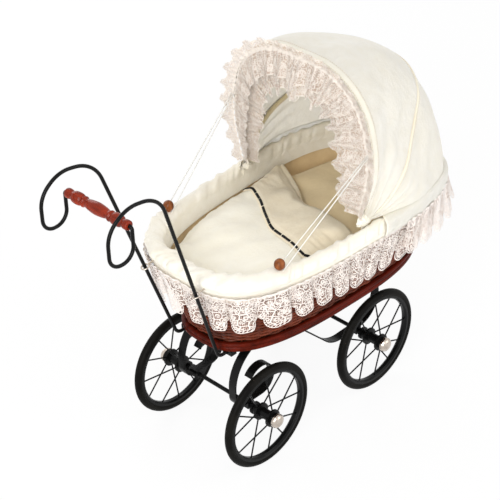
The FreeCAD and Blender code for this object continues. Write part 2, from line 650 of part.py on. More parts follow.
half_fold = mm.turnover_half_width
turnover = sheet_on_blanket([(mm.turnover_far_foot, half_fold), (mm.turnover_near_foot, -half_fold),
                             (mm.turnover_near_head, -half_fold),
                             (min(mm.turnover_far_head, mm.blanket_head), half_fold)],
                            mm.turnover_thickness)
keep(solid_feature("folded_edge", turnover), "blanket_turnover")
ribbon_far = mm.turnover_far_foot - mm.fit_gap
ribbon_near = mm.turnover_near_foot - mm.fit_gap
ribbon = sheet_on_blanket([(ribbon_far - mm.ribbon_width, half_fold),
                           (ribbon_near - mm.ribbon_width, -half_fold),
                           (ribbon_near, -half_fold), (ribbon_far, half_fold)],
                          mm.ribbon_thickness)
keep(solid_feature("threaded_ribbon", ribbon), "blanket_ribbon")

# ---------------------------------------------------------------- knobs for the hood cords
knob_y = basket_half_width(mm.knob_station, cover_top, -mm.knob_inset)
knob_base = Measure(cover_top, (dim.rim_top + dim.fit_gap + dim.cover_thickness).text)
for side_name, side in (("left", 1), ("right", -1)):
    across = Measure(knob_y * side, repr(knob_y * side))
    foot = place(cylinder("knob_foot_" + side_name, dim.knob_foot_diameter, dim.knob_foot_height),
                 dim.knob_station, across, knob_base)
    neck_length = dim.knob_neck_height + dim.knob_ball_diameter / 2
    neck = place(cylinder("knob_neck_" + side_name, dim.knob_neck_diameter, neck_length),
                 dim.knob_station, across, knob_base + dim.knob_foot_height)
    ball = doc.addObject("Part::Sphere", "knob_ball_" + side_name)
    bind(ball, Radius=dim.knob_ball_diameter / 2)
    place(ball, dim.knob_station, across,
          knob_base + dim.knob_foot_height + dim.knob_neck_height + dim.knob_ball_diameter / 2)
    keep(fused("knob_turning_" + side_name, [foot, neck, ball]), "cord_knob_" + side_name)

# ---------------------------------------------------------------- push handle
rod_low = mm.base_underside - mm.rod_diameter / 2


def handle_rod(side):
    """From under the base up past the rim, over an arch and round a loop into the grip."""
    end_y = mm.grip_length / 2 - mm.rod_insertion
    corners = [(mm.rod_inner_end, mm.rod_offset, rod_low), (mm.rod_heel, mm.rod_offset, rod_low),
               (mm.arch_x, mm.arch_offset, mm.arch_z), (mm.crown_x, mm.loop_offset, mm.crown_z),
               (mm.loop_back_x, mm.loop_offset, mm.loop_shoulder_z),
               (mm.loop_back_x, mm.loop_offset, mm.loop_bottom_z),
               (mm.loop_front_x, mm.loop_offset, mm.loop_bottom_z),
               (mm.loop_front_x, mm.loop_offset, mm.grip_height),
               (mm.loop_front_x, end_y, mm.grip_height)]
    radii = [mm.rod_heel_radius, mm.arch_radius, mm.crown_radius, mm.loop_shoulder_radius,
             mm.loop_radius, mm.loop_radius, mm.rod_end_radius]
    return tube_along(rounded_path([(x, side * y, z) for x, y, z in corners], radii),
                      mm.rod_diameter)


for side_name, side in (("left", 1), ("right", -1)):
    keep(solid_feature("bent_rod_" + side_name, handle_rod(side)), "handle_rod_" + side_name)

full, neck, tip = dim.grip_diameter / 2, dim.grip_neck_diameter / 2, dim.grip_end_diameter / 2
socket = dim.rod_diameter / 2 + dim.bearing_clearance
span = dim.grip_length
grip = turned_body("grip_turning", [
    (nothing, dim.socket_depth), (socket, dim.socket_depth), (socket, nothing),
    (tip * 0.85, nothing), (tip, span * 0.02), (tip, span * 0.06), (neck, span * 0.09),
    (full * 0.95, span * 0.15), (full, span * 0.19), (full * 0.92, span * 0.23),
    (neck, span * 0.26), (full * 0.9, span * 0.29), (neck * 1.02, span * 0.33),
    (full * 0.93, span * 0.42), (full, span * 0.5), (full * 0.93, span * 0.58),
    (neck * 1.02, span * 0.67), (full * 0.9, span * 0.71), (neck, span * 0.74),
    (full * 0.92, span * 0.77), (full, span * 0.81), (full * 0.95, span * 0.85),
    (neck, span * 0.91), (tip, span * 0.94), (tip, span * 0.98), (tip * 0.85, span),
    (socket, span), (socket, span - dim.socket_depth), (nothing, span - dim.socket_depth)])
keep(place(grip, dim.loop_front_x, -(dim.grip_length / 2), dim.grip_height, to_left),
     "handle_grip")

saddles = []
for side in (1, -1):
    for step in (0, 1):
        x_front = mm.saddle_front + mm.saddle_length / 2 - step * mm.saddle_spacing
        depth = mm.rod_diameter + mm.saddle_wall
        body = Part.makeBox(mm.saddle_length, mm.saddle_width, depth,
                            Vector(x_front - mm.saddle_length, side * mm.rod_offset
                                   - mm.saddle_width / 2, mm.base_underside - depth))
        radius = mm.rod_diameter / 2 + mm.bearing_clearance
        room = Part.makeCylinder(radius, mm.saddle_length + 2,
                                 Vector(x_front - mm.saddle_length - 1, side * mm.rod_offset,
                                        rod_low), Vector(1, 0, 0))
        throat = Part.makeBox(mm.saddle_length + 2, 2 * radius, mm.rod_diameter / 2,
                              Vector(x_front - mm.saddle_length - 1, side * mm.rod_offset
                                     - radius, rod_low))
        saddles.append(body.cut(room.fuse(throat)))
keep(solid_feature("saddle_set", Part.makeCompound(saddles)), "rod_saddles")

# screw eyes in the rim that steady the rods
eye_z = wall_top + mm.rim_hoop_height / 2
eye_share = (eye_z - rod_low) / (mm.arch_z - rod_low)
eye_x = mm.rod_heel + (mm.arch_x - mm.rod_heel) * eye_share
eye_y = mm.rod_offset + (mm.arch_offset - mm.rod_offset) * eye_share
rod_heading = Vector(mm.arch_x - mm.rod_heel, mm.arch_offset - mm.rod_offset,
                     mm.arch_z - rod_low).normalize()
end_points = rim_outline(0)[OUTLINE_POINTS // 4: OUTLINE_POINTS // 2 + 1]
rim_x_at_eye = min(end_points, key=lambda p: abs(p[1] - eye_y))[0]
eyes = []
for side in (1, -1):
    heading = Vector(rod_heading.x, rod_heading.y * side, rod_heading.z)
    ring = Part.makeTorus(mm.eye_ring_radius, mm.eye_wire / 2, Vector(eye_x, side * eye_y,
                                                                      eye_z), heading)
    shank_start = eye_x + mm.eye_ring_radius * math.cos(math.asin(abs(heading.x)))
    shank = Part.makeCylinder(mm.eye_wire / 2, rim_x_at_eye + mm.eye_screw_depth - shank_start,
                              Vector(shank_start, side * eye_y, eye_z
                                     + mm.eye_ring_radius * abs(heading.x)), Vector(1, 0, 0))
    eyes.append(ring.fuse(shank).removeSplitter())
keep(solid_feature("eye_pair", Part.makeCompound(eyes)), "rod_eyes")

# ---------------------------------------------------------------- hood
pivot_z = cover_top + mm.pivot_rise
pivot_level = dim.rim_top + dim.fit_gap + dim.cover_thickness + dim.pivot_rise
cover_face = basket_half_width(mm.pivot_x, wall_top, cover_inner)
mid_eye_y = (cover_face - mm.fit_gap - mm.plate_thickness - mm.eye_gap
             - mm.hoop_eye_width / 2)
front_eye_y = mid_eye_y - mm.hoop_eye_width - mm.eye_gap
leg_start = mm.hoop_eye_diameter / 2 - 0.6
front_bow = SimpleNamespace(
    leg=(front_eye_y, leg_start), shoulder=(mm.front_shoulder_y, mm.front_shoulder_h),
    top=(mm.front_top_y, mm.front_top_h),
    radii=(mm.front_shoulder_radius, mm.front_top_radius))
mid_bow = SimpleNamespace(
    leg=(mid_eye_y, leg_start), shoulder=(mm.mid_shoulder_y, mm.mid_shoulder_h),
    top=(mm.mid_top_y, mm.mid_top_h), radii=(mm.mid_shoulder_radius, mm.mid_top_radius))
tail_bow = SimpleNamespace(
    leg=(mid_eye_y, leg_start), shoulder=(mm.tail_shoulder_y, mm.tail_shoulder_h),
    top=(mm.tail_top_y, mm.tail_top_h), radii=(mm.tail_shoulder_radius, mm.tail_top_radius))


def blend(low, high, share):
    return tuple(a + (b - a) * share for a, b in zip(low, high))


def between(low, high, share):
    """A bow part of the way from one to another."""
    return SimpleNamespace(**{name: blend(getattr(low, name), getattr(high, name), share)
                              for name in ("leg", "shoulder", "top", "radii")})


def bow_corners(bow, foot_h, offset):
    """Half-width and height of a bow's corners, from its left foot over to its right foot."""
    climb = (foot_h - bow.leg[1]) / (bow.shoulder[1] - bow.leg[1])
    half = [blend(bow.leg, bow.shoulder, climb), bow.shoulder, bow.top]
    first = Vector(half[1][0] - half[0][0], half[1][1] - half[0][1], 0).normalize()
    second = Vector(half[2][0] - half[1][0], half[2][1] - half[1][1], 0).normalize()
    third = Vector(-1, 0, 0)
    outward = [Vector(d.y, -d.x, 0) for d in (first, second, third)]

    def moved(point, normal_a, normal_b):
        both = normal_a + normal_b
        both = both * (2 / both.Length ** 2)
        return point[0] + both.x * offset, point[1] + both.y * offset

    left = [moved(half[0], outward[0], outward[0]), moved(half[1], outward[0], outward[1]),
            moved(half[2], outward[1], outward[2])]
    return left + [(-y, h) for y, h in reversed(left)]


def bow_radii(bow, offset):
    shoulder, top = bow.radii[0] + offset, bow.radii[1] + offset
    return [shoulder, top, top, shoulder]


def hood_point(y, h, degrees, forward=0.0):
    """A point of the hood at a half-width and a height along a plane leaned back by degrees."""
    lean = math.radians(degrees)
    return (mm.pivot_x + h * math.sin(lean) - forward * math.cos(lean), y,
            pivot_z + h * math.cos(lean) + forward * math.sin(lean))


def bow_path(bow, foot_h, offset, degrees, forward=0.0):
    corners = [hood_point(y, h, degrees, forward) for y, h in bow_corners(bow, foot_h, offset)]
    return rounded_path(corners, bow_radii(bow, offset))


BOW_POINTS = 33


def bow_band(bow, foot_h, inner, outer, degrees, forward=0.0):
    """The closed outline of a thin bowed section between two offsets."""
    ends = []
    curves = []
    for offset in (inner, outer):
        points = bow_path(bow, foot_h, offset, degrees, forward).discretize(Number=BOW_POINTS)
        curve = Part.BSplineCurve()
        curve.interpolate(points)
        curves.append(curve.toShape())
        ends.append((points[0], points[-1]))
    join_high = Part.LineSegment(ends[0][1], ends[1][1]).toShape()
    join_low = Part.LineSegment(ends[1][0], ends[0][0]).toShape()
    return Part.Wire([curves[0], join_high, curves[1].reversed(), join_low])


wire = mm.hoop_wire


def hood_hoop(bow, degrees):
    """A bent wire with a flattened eye at each foot, round the pivot pins."""
    eye_y = bow.leg[0]
    shape = tube_along(bow_path(bow, leg_start, 0.0, degrees), wire)
    for side in (1, -1):
        centre = Vector(mm.pivot_x, side * eye_y - mm.hoop_eye_width / 2, pivot_z)
        shape = shape.fuse(Part.makeCylinder(mm.hoop_eye_diameter / 2, mm.hoop_eye_width, centre,
                                             Vector(0, 1, 0)))
    for side in (1, -1):
        centre = Vector(mm.pivot_x, side * eye_y - mm.hoop_eye_width, pivot_z)
        bore = mm.pivot_pin_diameter / 2 + mm.pivot_clearance
        shape = shape.cut(Part.makeCylinder(bore, 2 * mm.hoop_eye_width, centre, Vector(0, 1, 0)))
    return shape


keep(solid_feature("front_bow_wire", hood_hoop(front_bow, 0.0)), "hood_front_hoop")
keep(solid_feature("mid_bow_wire", hood_hoop(mid_bow, mm.hoop_angle)), "hood_mid_hoop")

plate_inner = mid_eye_y + mm.hoop_eye_width / 2 + mm.eye_gap
pin_reach = (mm.hoop_eye_width + mm.eye_gap) * 2
for side_name, side in (("left", 1), ("right", -1)):
    plate_y = plate_inner if side > 0 else -plate_inner - mm.plate_thickness
    pin_y = plate_inner - pin_reach if side > 0 else -plate_inner - mm.plate_thickness
    head_y = side * (plate_inner - pin_reach) - (mm.pin_head_width if side > 0 else 0.0)
    plate = block("pivot_plate_" + side_name, dim.plate_width, dim.plate_thickness,
                  dim.plate_drop + dim.pivot_pin_diameter * 0.7)
    place(plate, dim.pivot_x - dim.plate_width / 2, Measure(plate_y, repr(plate_y)),
          pivot_level - dim.plate_drop)
    pin = cylinder("pivot_pin_" + side_name, dim.pivot_pin_diameter,
                   dim.plate_thickness + (dim.hoop_eye_width + dim.eye_gap) * 2)
    place(pin, dim.pivot_x, Measure(pin_y, repr(pin_y)), pivot_level, to_left)
    head = cylinder("pivot_head_" + side_name, dim.pin_head_diameter, dim.pin_head_width)
    place(head, dim.pivot_x, Measure(head_y, repr(head_y)), pivot_level, to_left)
    keep(fused("pivot_fitting_" + side_name, [plate, pin, head]), "hood_pivot_" + side_name)

cloth_in = wire / 2 + mm.hood_cloth_gap
cloth_out = cloth_in + mm.hood_cloth
cloth_foot = mm.hood_foot_h
half_angle = mm.hoop_angle / 2
SEAM_GAP = 0.3
front_panel = Part.makeLoft([
    bow_band(front_bow, cloth_foot, cloth_in, cloth_out, 0.0),
    bow_band(between(front_bow, mid_bow, 0.5), cloth_foot, cloth_in, cloth_out, half_angle),
    bow_band(mid_bow, cloth_foot, cloth_in, cloth_out, mm.hoop_angle)], True, False)
keep(solid_feature("front_cloth", front_panel), "hood_front_panel")
tail_start = mm.hoop_angle + SEAM_GAP
rear_panel = Part.makeLoft([
    bow_band(mid_bow, cloth_foot, cloth_in, cloth_out, tail_start),
    bow_band(between(mid_bow, tail_bow, 0.5), cloth_foot, cloth_in, cloth_out,
             (tail_start + mm.tail_angle) / 2),
    bow_band(tail_bow, cloth_foot, 0.0, mm.hood_cloth, mm.tail_angle)], True, False)
keep(solid_feature("rear_cloth", rear_panel), "hood_rear_panel")

cord_height = pivot_z + mm.cord_attach_h
bow_line = bow_path(front_bow, leg_start, 0.0, 0.0)
bow_half_width = min(bow_line.discretize(Distance=0.5),
                     key=lambda p: abs(p.z - cord_height) - 0.001 * p.y).y
attach_half_width = bow_half_width + mm.cord_stand_off
tab_back = mm.pivot_x - wire / 2 + mm.tab_bite
tab_front = tab_back - mm.tab_thickness


def cord_tab(side, room):
    """A tape's block across the front of the bow, grown by room on every side."""
    outer = attach_half_width + mm.cord_end_spacing
    low_y = bow_half_width if side > 0 else -outer
    corner = Vector(tab_front - room, low_y - room, cord_height - mm.tab_width / 2 - room)
    return Part.makeBox(mm.tab_thickness + 2 * room, outer - bow_half_width + 2 * room,
                        mm.tab_width + 2 * room, corner)


lace_slant = mm.lace_thickness * mm.front_lace_lean / mm.front_lace_width
front_lace = Part.makeLoft([
    bow_band(front_bow, cloth_foot, -lace_slant, 0.0, 0.0, wire / 2 + mm.fit_gap),
    bow_band(front_bow, cloth_foot, -mm.front_lace_lean - lace_slant, -mm.front_lace_lean,
             0.0, mm.front_lace_width)], True, True)
front_lace = front_lace.cut(Part.makeCompound([cord_tab(side, mm.fit_gap) for side in (1, -1)]))
keep(solid_feature("front_frill", front_lace), "hood_front_lace")

hem_top = pivot_z - mm.fit_gap
hem_low = hem_top - mm.hem_drop
hem_in = cover_outer + mm.fit_gap
hem = basket_loft([(hem_low, hem_in + mm.hem_thickness), (wall_top, hem_in + mm.hem_thickness),
                   (hem_top, hem_in + mm.hem_thickness)])
hem = hem.cut(basket_loft([(hem_low - 1, hem_in), (wall_top, hem_in), (hem_top + 1, hem_in)]))
hem_span = slab(mm.hem_start_x, 2 * mm.rim_head, 0.0, hem_top + 1)
keep(solid_feature("hem_band", hem.common(hem_span)), "hood_hem")
rear_frill = lace_ring(hem_low - mm.fit_gap, hem_low - mm.rear_lace_drop, hem_in,
                       mm.rear_lace_flare)
keep(solid_feature("rear_frill", rear_frill.common(hem_span)), "hood_rear_lace")

# ---------------------------------------------------------------- cords that hold the hood up
tab_room = tube_along(bow_line, wire)
tabs = [cord_tab(side, 0.0).cut(tab_room) for side in (1, -1)]
keep(solid_feature("tape_tabs", Part.makeCompound(tabs)), "cord_tabs")


def hood_cord(side):
    """One elastic from the hood down round a knob's neck and back, drawn straight."""
    loop_z = cover_top + mm.knob_foot_height + 0.66 * mm.knob_neck_height
    middle = Vector(mm.knob_station, side * knob_y, loop_z)
    attach = Vector(tab_front - mm.cord_diameter / 2, side * attach_half_width,
                    cord_height)
    along = (attach - middle)
    reach = along.Length
    level = math.hypot(along.x, along.y) / reach
    radius = (mm.knob_neck_diameter / 2 + mm.cord_diameter / 2 + mm.cord_neck_gap) / level
    along.normalize()
    across = Vector(0, 0, 1).cross(along).normalize()
    half_gap = mm.cord_end_spacing / 2
    start_angle = math.atan2(half_gap, reach) + math.acos(radius / math.hypot(reach, half_gap))

    def around(angle):
        return middle + along * (radius * math.cos(angle)) + across * (radius * math.sin(angle))

    strands = [Part.LineSegment(attach + across * half_gap, around(start_angle)).toShape(),
               Part.Arc(around(start_angle), around(math.pi), around(-start_angle)).toShape(),
               Part.LineSegment(around(-start_angle), attach - across * half_gap).toShape()]
    return tube_along(Part.Wire(strands), mm.cord_diameter), sum(e.Length for e in strands)


for side_name, side in (("left", 1), ("right", -1)):
    cord, cord_length = hood_cord(side)
    keep(solid_feature("elastic_" + side_name, cord), "hood_cord_" + side_name)
    swept = math.pi * mm.cord_diameter ** 2 / 4 * cord_length
    print("hood_cord_%s length %.1f mm, volume %.1f of %.1f mm3"
          % (side_name, cord_length, cord.Volume, swept))

# ---------------------------------------------------------------- checks and export
doc.recompute()
for item in doc.Objects:
    if "Invalid" in item.State or "Error" in item.State:
        raise RuntimeError("%s did not build: %s" % (item.Label, item.State))
for item in sub_parts:
    if item.Shape.isNull() or not item.Shape.isValid():
        raise RuntimeError("%s has no valid shape" % item.Label)

os.makedirs("parts", exist_ok=True)
for item in sub_parts:
    item.Shape.exportStep(os.path.join("parts", item.Label + ".step"))
print("%d sub-parts written" % len(sub_parts))
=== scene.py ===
# A doll's pram of the old coach-built kind: a wicker basket on strap springs and four
# spoked wheels, dressed in cream cotton and gathered lace, with a folding hood.
# Metres; +X towards the hood end, +Y to the left, +Z up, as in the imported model.
import math

import bmesh
import bpy
import numpy as np
from mathutils import Matrix, Vector
from mathutils.bvhtree import BVHTree


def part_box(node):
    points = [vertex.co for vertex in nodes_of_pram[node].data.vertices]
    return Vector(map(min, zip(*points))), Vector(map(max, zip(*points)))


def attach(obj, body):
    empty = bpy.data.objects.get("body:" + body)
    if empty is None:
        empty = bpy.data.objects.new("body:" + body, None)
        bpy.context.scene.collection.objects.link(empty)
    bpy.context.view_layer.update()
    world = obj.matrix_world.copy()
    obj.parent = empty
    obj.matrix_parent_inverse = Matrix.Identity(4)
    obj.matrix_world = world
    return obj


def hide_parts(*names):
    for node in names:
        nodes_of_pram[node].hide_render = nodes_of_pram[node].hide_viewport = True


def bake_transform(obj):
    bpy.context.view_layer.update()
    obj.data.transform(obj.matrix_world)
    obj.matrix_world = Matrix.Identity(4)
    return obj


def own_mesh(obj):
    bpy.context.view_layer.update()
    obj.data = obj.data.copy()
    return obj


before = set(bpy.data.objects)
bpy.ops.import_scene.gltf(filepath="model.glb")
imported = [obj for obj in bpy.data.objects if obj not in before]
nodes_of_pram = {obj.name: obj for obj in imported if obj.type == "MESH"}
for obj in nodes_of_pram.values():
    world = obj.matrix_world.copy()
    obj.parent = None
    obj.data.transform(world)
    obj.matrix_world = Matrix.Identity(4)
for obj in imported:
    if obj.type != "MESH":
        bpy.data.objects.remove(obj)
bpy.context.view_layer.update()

# ---- camera
# A standing adult's view of the pram from beyond the handle and a little to its right,
# far enough away that the wheels keep nearly the same size.
scene = bpy.context.scene


def linked(name, data):
    """A new object of the scene that holds the data."""
    holder = bpy.data.objects.new(name, data)
    scene.collection.objects.link(holder)
    return holder


turned, raised, tilted = math.radians(-44.85), math.radians(34.73), math.radians(-2.0)
distance, to_the_left, upwards, look_height = 2.42407, 0.03558, 0.07844, 0.16
backward = Vector((math.sin(turned) * math.cos(raised), -math.cos(turned) * math.cos(raised),
                   math.sin(raised)))
level = Vector((math.cos(turned), math.sin(turned), 0))
above = backward.cross(level)
right = math.cos(tilted) * level + math.sin(tilted) * above
upward = -math.sin(tilted) * level + math.cos(tilted) * above
lens = bpy.data.cameras.new("view_camera")
lens.lens, lens.sensor_width = 122.88, 36.0
lens.clip_start, lens.clip_end = 0.05, 50.0
scene.camera = linked("view_camera", lens)
stand = Vector((0, 0, look_height)) + backward * distance - right * to_the_left + upward * upwards
scene.camera.matrix_world = Matrix([(right[k], upward[k], backward[k], stand[k])
                                    for k in range(3)] + [(0, 0, 0, 1)])

# ---- hood cords
# Two loops of thin white elastic, sewn to tapes on the hood's front bow. Each goes down
# round the neck of a wooden knob on the rim and back, and its pull holds the hood up.
full_turn = 2 * math.pi
chassis = "chassis_and_basket"
both_sides = (("left", 1), ("right", -1))


def made_mesh(holder):
    """A new mesh of what an object shows, with its modifiers done."""
    return bpy.data.meshes.new_from_object(
        holder.evaluated_get(bpy.context.evaluated_depsgraph_get()))


def named_mesh(name, points, faces, material, smooth=True, uv=None):
    """A linked mesh object; uv holds one pair for each corner of each face."""
    mesh = bpy.data.meshes.new(name)
    mesh.from_pydata([tuple(p) for p in points], [], faces)
    if uv is not None:
        layer = mesh.uv_layers.new(name="cloth")
        layer.data.foreach_set("uv", np.asarray(uv, dtype=np.float32).ravel())
    mesh.materials.append(material)
    mesh.polygons.foreach_set("use_smooth", [smooth] * len(mesh.polygons))
    mesh.update()
    return linked(name, mesh)


def belongs(piece, body=None, node=None):
    """Hides the CAD node that a piece stands for and puts the piece on its body, where these are
    given.
    """
    if node:
        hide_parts(node)
    if body:
        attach(piece, body)
    return piece


def middle_of(name):
    """The middle of a node's box."""
    low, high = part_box(name)
    return (np.array(low) + np.array(high)) / 2


def lengths_along(line):
    """The way from a line's first point to each of its points."""
    return np.concatenate([[0], np.cumsum(np.linalg.norm(np.diff(line, axis=0), axis=1))])


def of_length_one(rows):
    return rows / np.linalg.norm(rows, axis=1)[:, None]


# the corners of a face in turn, as steps down the rows and across the columns of a grid
down_first = ((0, 0), (1, 0), (1, 1), (0, 1))
across_first = ((0, 0), (0, 1), (1, 1), (1, 0))


def grid_faces(rows, columns, order=down_first, rounded=False, shut=False, flat=None):
    """Faces of a grid of points, and the corners' places in the flat cloth, if that is given.

    A rounded grid joins each row's ends; a shut one joins its last row to its first.
    """
    faces, corners = [], []
    for row in range(rows - 1 + shut):
        for column in range(columns - 1 + rounded):
            quad = [(row + down, column + over) for down, over in order]
            faces.append(tuple(r % rows * columns + c % columns for r, c in quad))
            if flat is not None:
                corners += [flat[r][c] for r, c in quad]
    return faces, corners


def tube(name, line, radius, sides, material, with_uv=False):
    """A round tube along a line, kept from twisting, and closed at both ends."""
    line = np.asarray(line)
    heading = of_length_one(np.gradient(line, axis=0))
    side = np.cross(heading[0], (0.31, 0.17, 0.93))     # any way off the line's own
    points = []
    for centre, ahead in zip(line, heading):
        side = side - ahead * np.dot(side, ahead)
        side /= np.linalg.norm(side)
        other = np.cross(ahead, side)
        for k in range(sides):
            turn = full_turn * k / sides
            points.append(centre + radius * (math.cos(turn) * side + math.sin(turn) * other))
    count, lengths = len(line), lengths_along(line)
    flat = [[(k / sides, length) for k in range(sides + 1)] for length in lengths]
    faces, corners = grid_faces(count, sides, across_first, rounded=True, flat=flat)
    faces += [tuple(reversed(range(sides))), tuple(range((count - 1) * sides, count * sides))]
    corners += [(0, 0)] * sides + [(0, lengths[-1])] * sides
    return named_mesh(name, points, faces, material, uv=corners if with_uv else None)


class Socket:
    """An output of a node that can be used in Python sums."""

    def __init__(self, nodes, output):
        self.nodes, self.output = nodes, output


def sum_method(operation, swapped):
    def method(self, other):
        return self.nodes.math(operation, *((other, self) if swapped else (self, other)))
    return method


for word, operation in (("add", "ADD"), ("sub", "SUBTRACT"), ("mul", "MULTIPLY"),
                        ("truediv", "DIVIDE"), ("lt", "LESS_THAN"), ("gt", "GREATER_THAN")):
    setattr(Socket, "__%s__" % word, sum_method(operation, False))
    if word not in ("lt", "gt"):
        setattr(Socket, "__r%s__" % word, sum_method(operation, True))


class Nodes:
    """A node tree that is written as sums and short calls."""

    def __init__(self, tree):
        self.tree = tree
        self.tree.nodes.clear()

    def add(self, kind, settings=None, inputs=None, output=0):
        """A node with its settings set first, then its inputs; returns one of its outputs."""
        node = self.tree.nodes.new(kind)
        for name, setting in (settings or {}).items():
            setattr(node, name, setting)
        for key, given in (inputs or {}).items():
            if isinstance(given, Socket):
                self.tree.links.new(given.output, node.inputs[key])
            elif isinstance(given, tuple) and node.inputs[key].type == "RGBA":
                node.inputs[key].default_value = given + (1.0,)
            else:
                node.inputs[key].default_value = given
        return Socket(self, node.outputs[output]) if len(node.outputs) else None

    def math(self, operation, first, second=0.0):
        return self.add("ShaderNodeMath", {"operation": operation}, {0: first, 1: second})

    def largest(self, *numbers):
        top = numbers[0]
        for number in numbers[1:]:
            top = self.math("MAXIMUM", top, number)
        return top

    def wave(self, number, length):
        """A sine that repeats over a length."""
        return self.math("SINE", number * (full_turn / length))

    def part(self, vector, axis):
        return self.add("ShaderNodeSeparateXYZ", inputs={"Vector": vector}, output=axis)

    def camera_sees(self):
        """1 for rays from the camera, in reflections and through thin cloth, else 0."""
        return self.largest(*[self.add("ShaderNodeLightPath", output=k) for k in (0, 3, 6)])


class Finish(Nodes):
    """The nodes of one material: a Principled surface with what feeds it."""

    def __init__(self, name):
        self.material = bpy.data.materials.new(name)
        self.material.use_nodes = True
        super().__init__(self.material.node_tree)

    def place(self, scale=(1.0, 1.0, 1.0), source="Object"):
        """Object or UV coordinates in metres, scaled along each axis."""
        spot = self.add("ShaderNodeTexCoord", output=3 if source == "Object" else 2)
        return self.add("ShaderNodeMapping", inputs={"Vector": spot, "Scale": scale})

    def noise(self, spot, scale, detail=3.0, roughness=0.55):
        return self.add("ShaderNodeTexNoise", inputs={
            "Vector": spot, "Scale": scale, "Detail": detail, "Roughness": roughness})

    def blend(self, share, low, high):
        """One colour into another by a share."""
        return self.add("ShaderNodeMix", {"data_type": "RGBA", "clamp_factor": True},
                        {0: share, 6: low, 7: high}, 2)

    def between(self, number, low, high):
        """0 below low, 1 above high, and a straight slope between them."""
        return self.add("ShaderNodeMapRange", {"clamp": True},
                        {"Value": number, "From Min": low, "From Max": high})

    def surface(self, colour, roughness, bump, bump_size, strength, alpha=None, **constants):
        """Ends the material; constants are the shader's own sockets, by their plain names."""
        inputs = {"Base Color": colour, "Roughness": roughness, "Normal": self.add(
            "ShaderNodeBump", inputs={"Height": bump, "Distance": bump_size,
                                      "Strength": strength})}
        if alpha is not None:
            inputs["Alpha"] = alpha
        for name, number in constants.items():
            inputs[name.replace("_", " ").title().replace("Ior", "IOR")] = number
        shader = self.add("ShaderNodeBsdfPrincipled", inputs=inputs)
        self.add("ShaderNodeOutputMaterial", inputs={"Surface": shader})
        return self.material


def elastic_finish():
    nodes = Finish("white_elastic")
    spot = nodes.place(source="UV")
    around, along = nodes.part(spot, 0), nodes.part(spot, 1)
    braid_pitch, strands = 0.0011, 2
    climb, sweep = along * (full_turn / braid_pitch), around * (strands * full_turn)
    braid = nodes.math("SINE", climb + sweep) * nodes.math("SINE", climb - sweep)
    # painted shade: the colour is darker where the braid relief is low, on the strands that pass
    # under
    colour = nodes.blend(nodes.between(braid, -0.8, 0.6), (0.72, 0.7, 0.64), (0.9, 0.89, 0.85))
    return nodes.surface(colour, 0.7, braid, 0.0002, 0.6)


elastic = elastic_finish()


def smooth_line(name, route):
    """Points of the NURBS line that has the route as its control points."""
    curve = bpy.data.curves.new(name, "CURVE")
    curve.dimensions, curve.resolution_u = "3D", 12
    spline = curve.splines.new("NURBS")
    spline.points.add(len(route) - 1)
    for point, spot in zip(spline.points, route):
        point.co = tuple(spot) + (1.0,)
    spline.order_u = 3
    spline.use_endpoint_u = True
    holder = linked(name, curve)
    mesh = made_mesh(holder)
    line = [tuple(v.co) for v in mesh.vertices]
    bpy.data.objects.remove(holder)
    bpy.data.curves.remove(curve)
    bpy.data.meshes.remove(mesh)
    return line


# the cord's thickness, the gap between a loop's ends, and how it goes round a knob's neck
cord_size, cord_spread, neck_turn_radius, neck_height = 0.0015, 0.0026, 0.00534, 0.00549
tab_height, control_overshoot = 0.4375, 1.082
for side_name, side in both_sides:
    tape_y = side * (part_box("cord_tabs")[1][1] - cord_spread)
    cord_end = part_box("hood_cord_" + side_name)[1]
    hooked_at = Vector((cord_end[0] - cord_size / 2, tape_y, tab_height))
    neck = Vector(middle_of("cord_knob_" + side_name))
    neck.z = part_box("cord_knob_" + side_name)[0][2] + neck_height
    pull = (hooked_at - neck).normalized()
    aside = Vector((0, 0, 1)).cross(pull).normalized()
    reach = neck_turn_radius * control_overshoot
    around_neck = [neck + pull * (reach * math.cos(math.radians(turn)))
                   + aside * (reach * math.sin(math.radians(turn)))
                   for turn in (112.5, 157.5, 202.5, 247.5)]
    near_neck = [neck + pull * (6 * cord_size) + aside * (way * neck_turn_radius)
                 for way in (1, -1)]
    route = ([hooked_at + aside * cord_spread / 2, near_neck[0]] + around_neck
             + [near_neck[1], hooked_at - aside * cord_spread / 2])
    line = smooth_line("cord_line", route)
    cord = belongs(tube("elastic_loop_" + side_name, line, cord_size / 2, 8, elastic, True),
                   chassis, "hood_cord_" + side_name)
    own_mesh(cord)

# ---- wheels, axles and springs
# Light steel wheels with twelve wire spokes, solid rubber tyres and nickel caps run on drawn
# steel axles. Bent flat-steel springs, scrolls behind and long bows in front, are clamped to
# the axles and bolted under the base. The steel is dipped in black enamel.


def dress(names, material):
    """Puts a finish on CAD nodes that keep their shape."""
    for name in names:
        node = nodes_of_pram[name]
        node.data.materials.clear()
        node.data.materials.append(material)


def worn_finish(name, colours, wear, worn, gloss, relief, bump, **constants):
    """A plain surface whose colour and gloss change in patches, over a fine relief.

    wear and relief are noises; worn is where the colour starts and ends to change, and
    gloss is the same for the roughness, followed by its smallest value.
    """
    nodes = Finish(name)
    patches = nodes.noise(nodes.place(), *wear)
    fine = nodes.noise(nodes.place(relief[0]), *relief[1:])
    colour = nodes.blend(nodes.between(patches, *worn), *colours)
    roughness = nodes.between(patches, *gloss[:2]) * 0.2 + gloss[2]
    return nodes.surface(colour, roughness, fine, *bump, **constants)


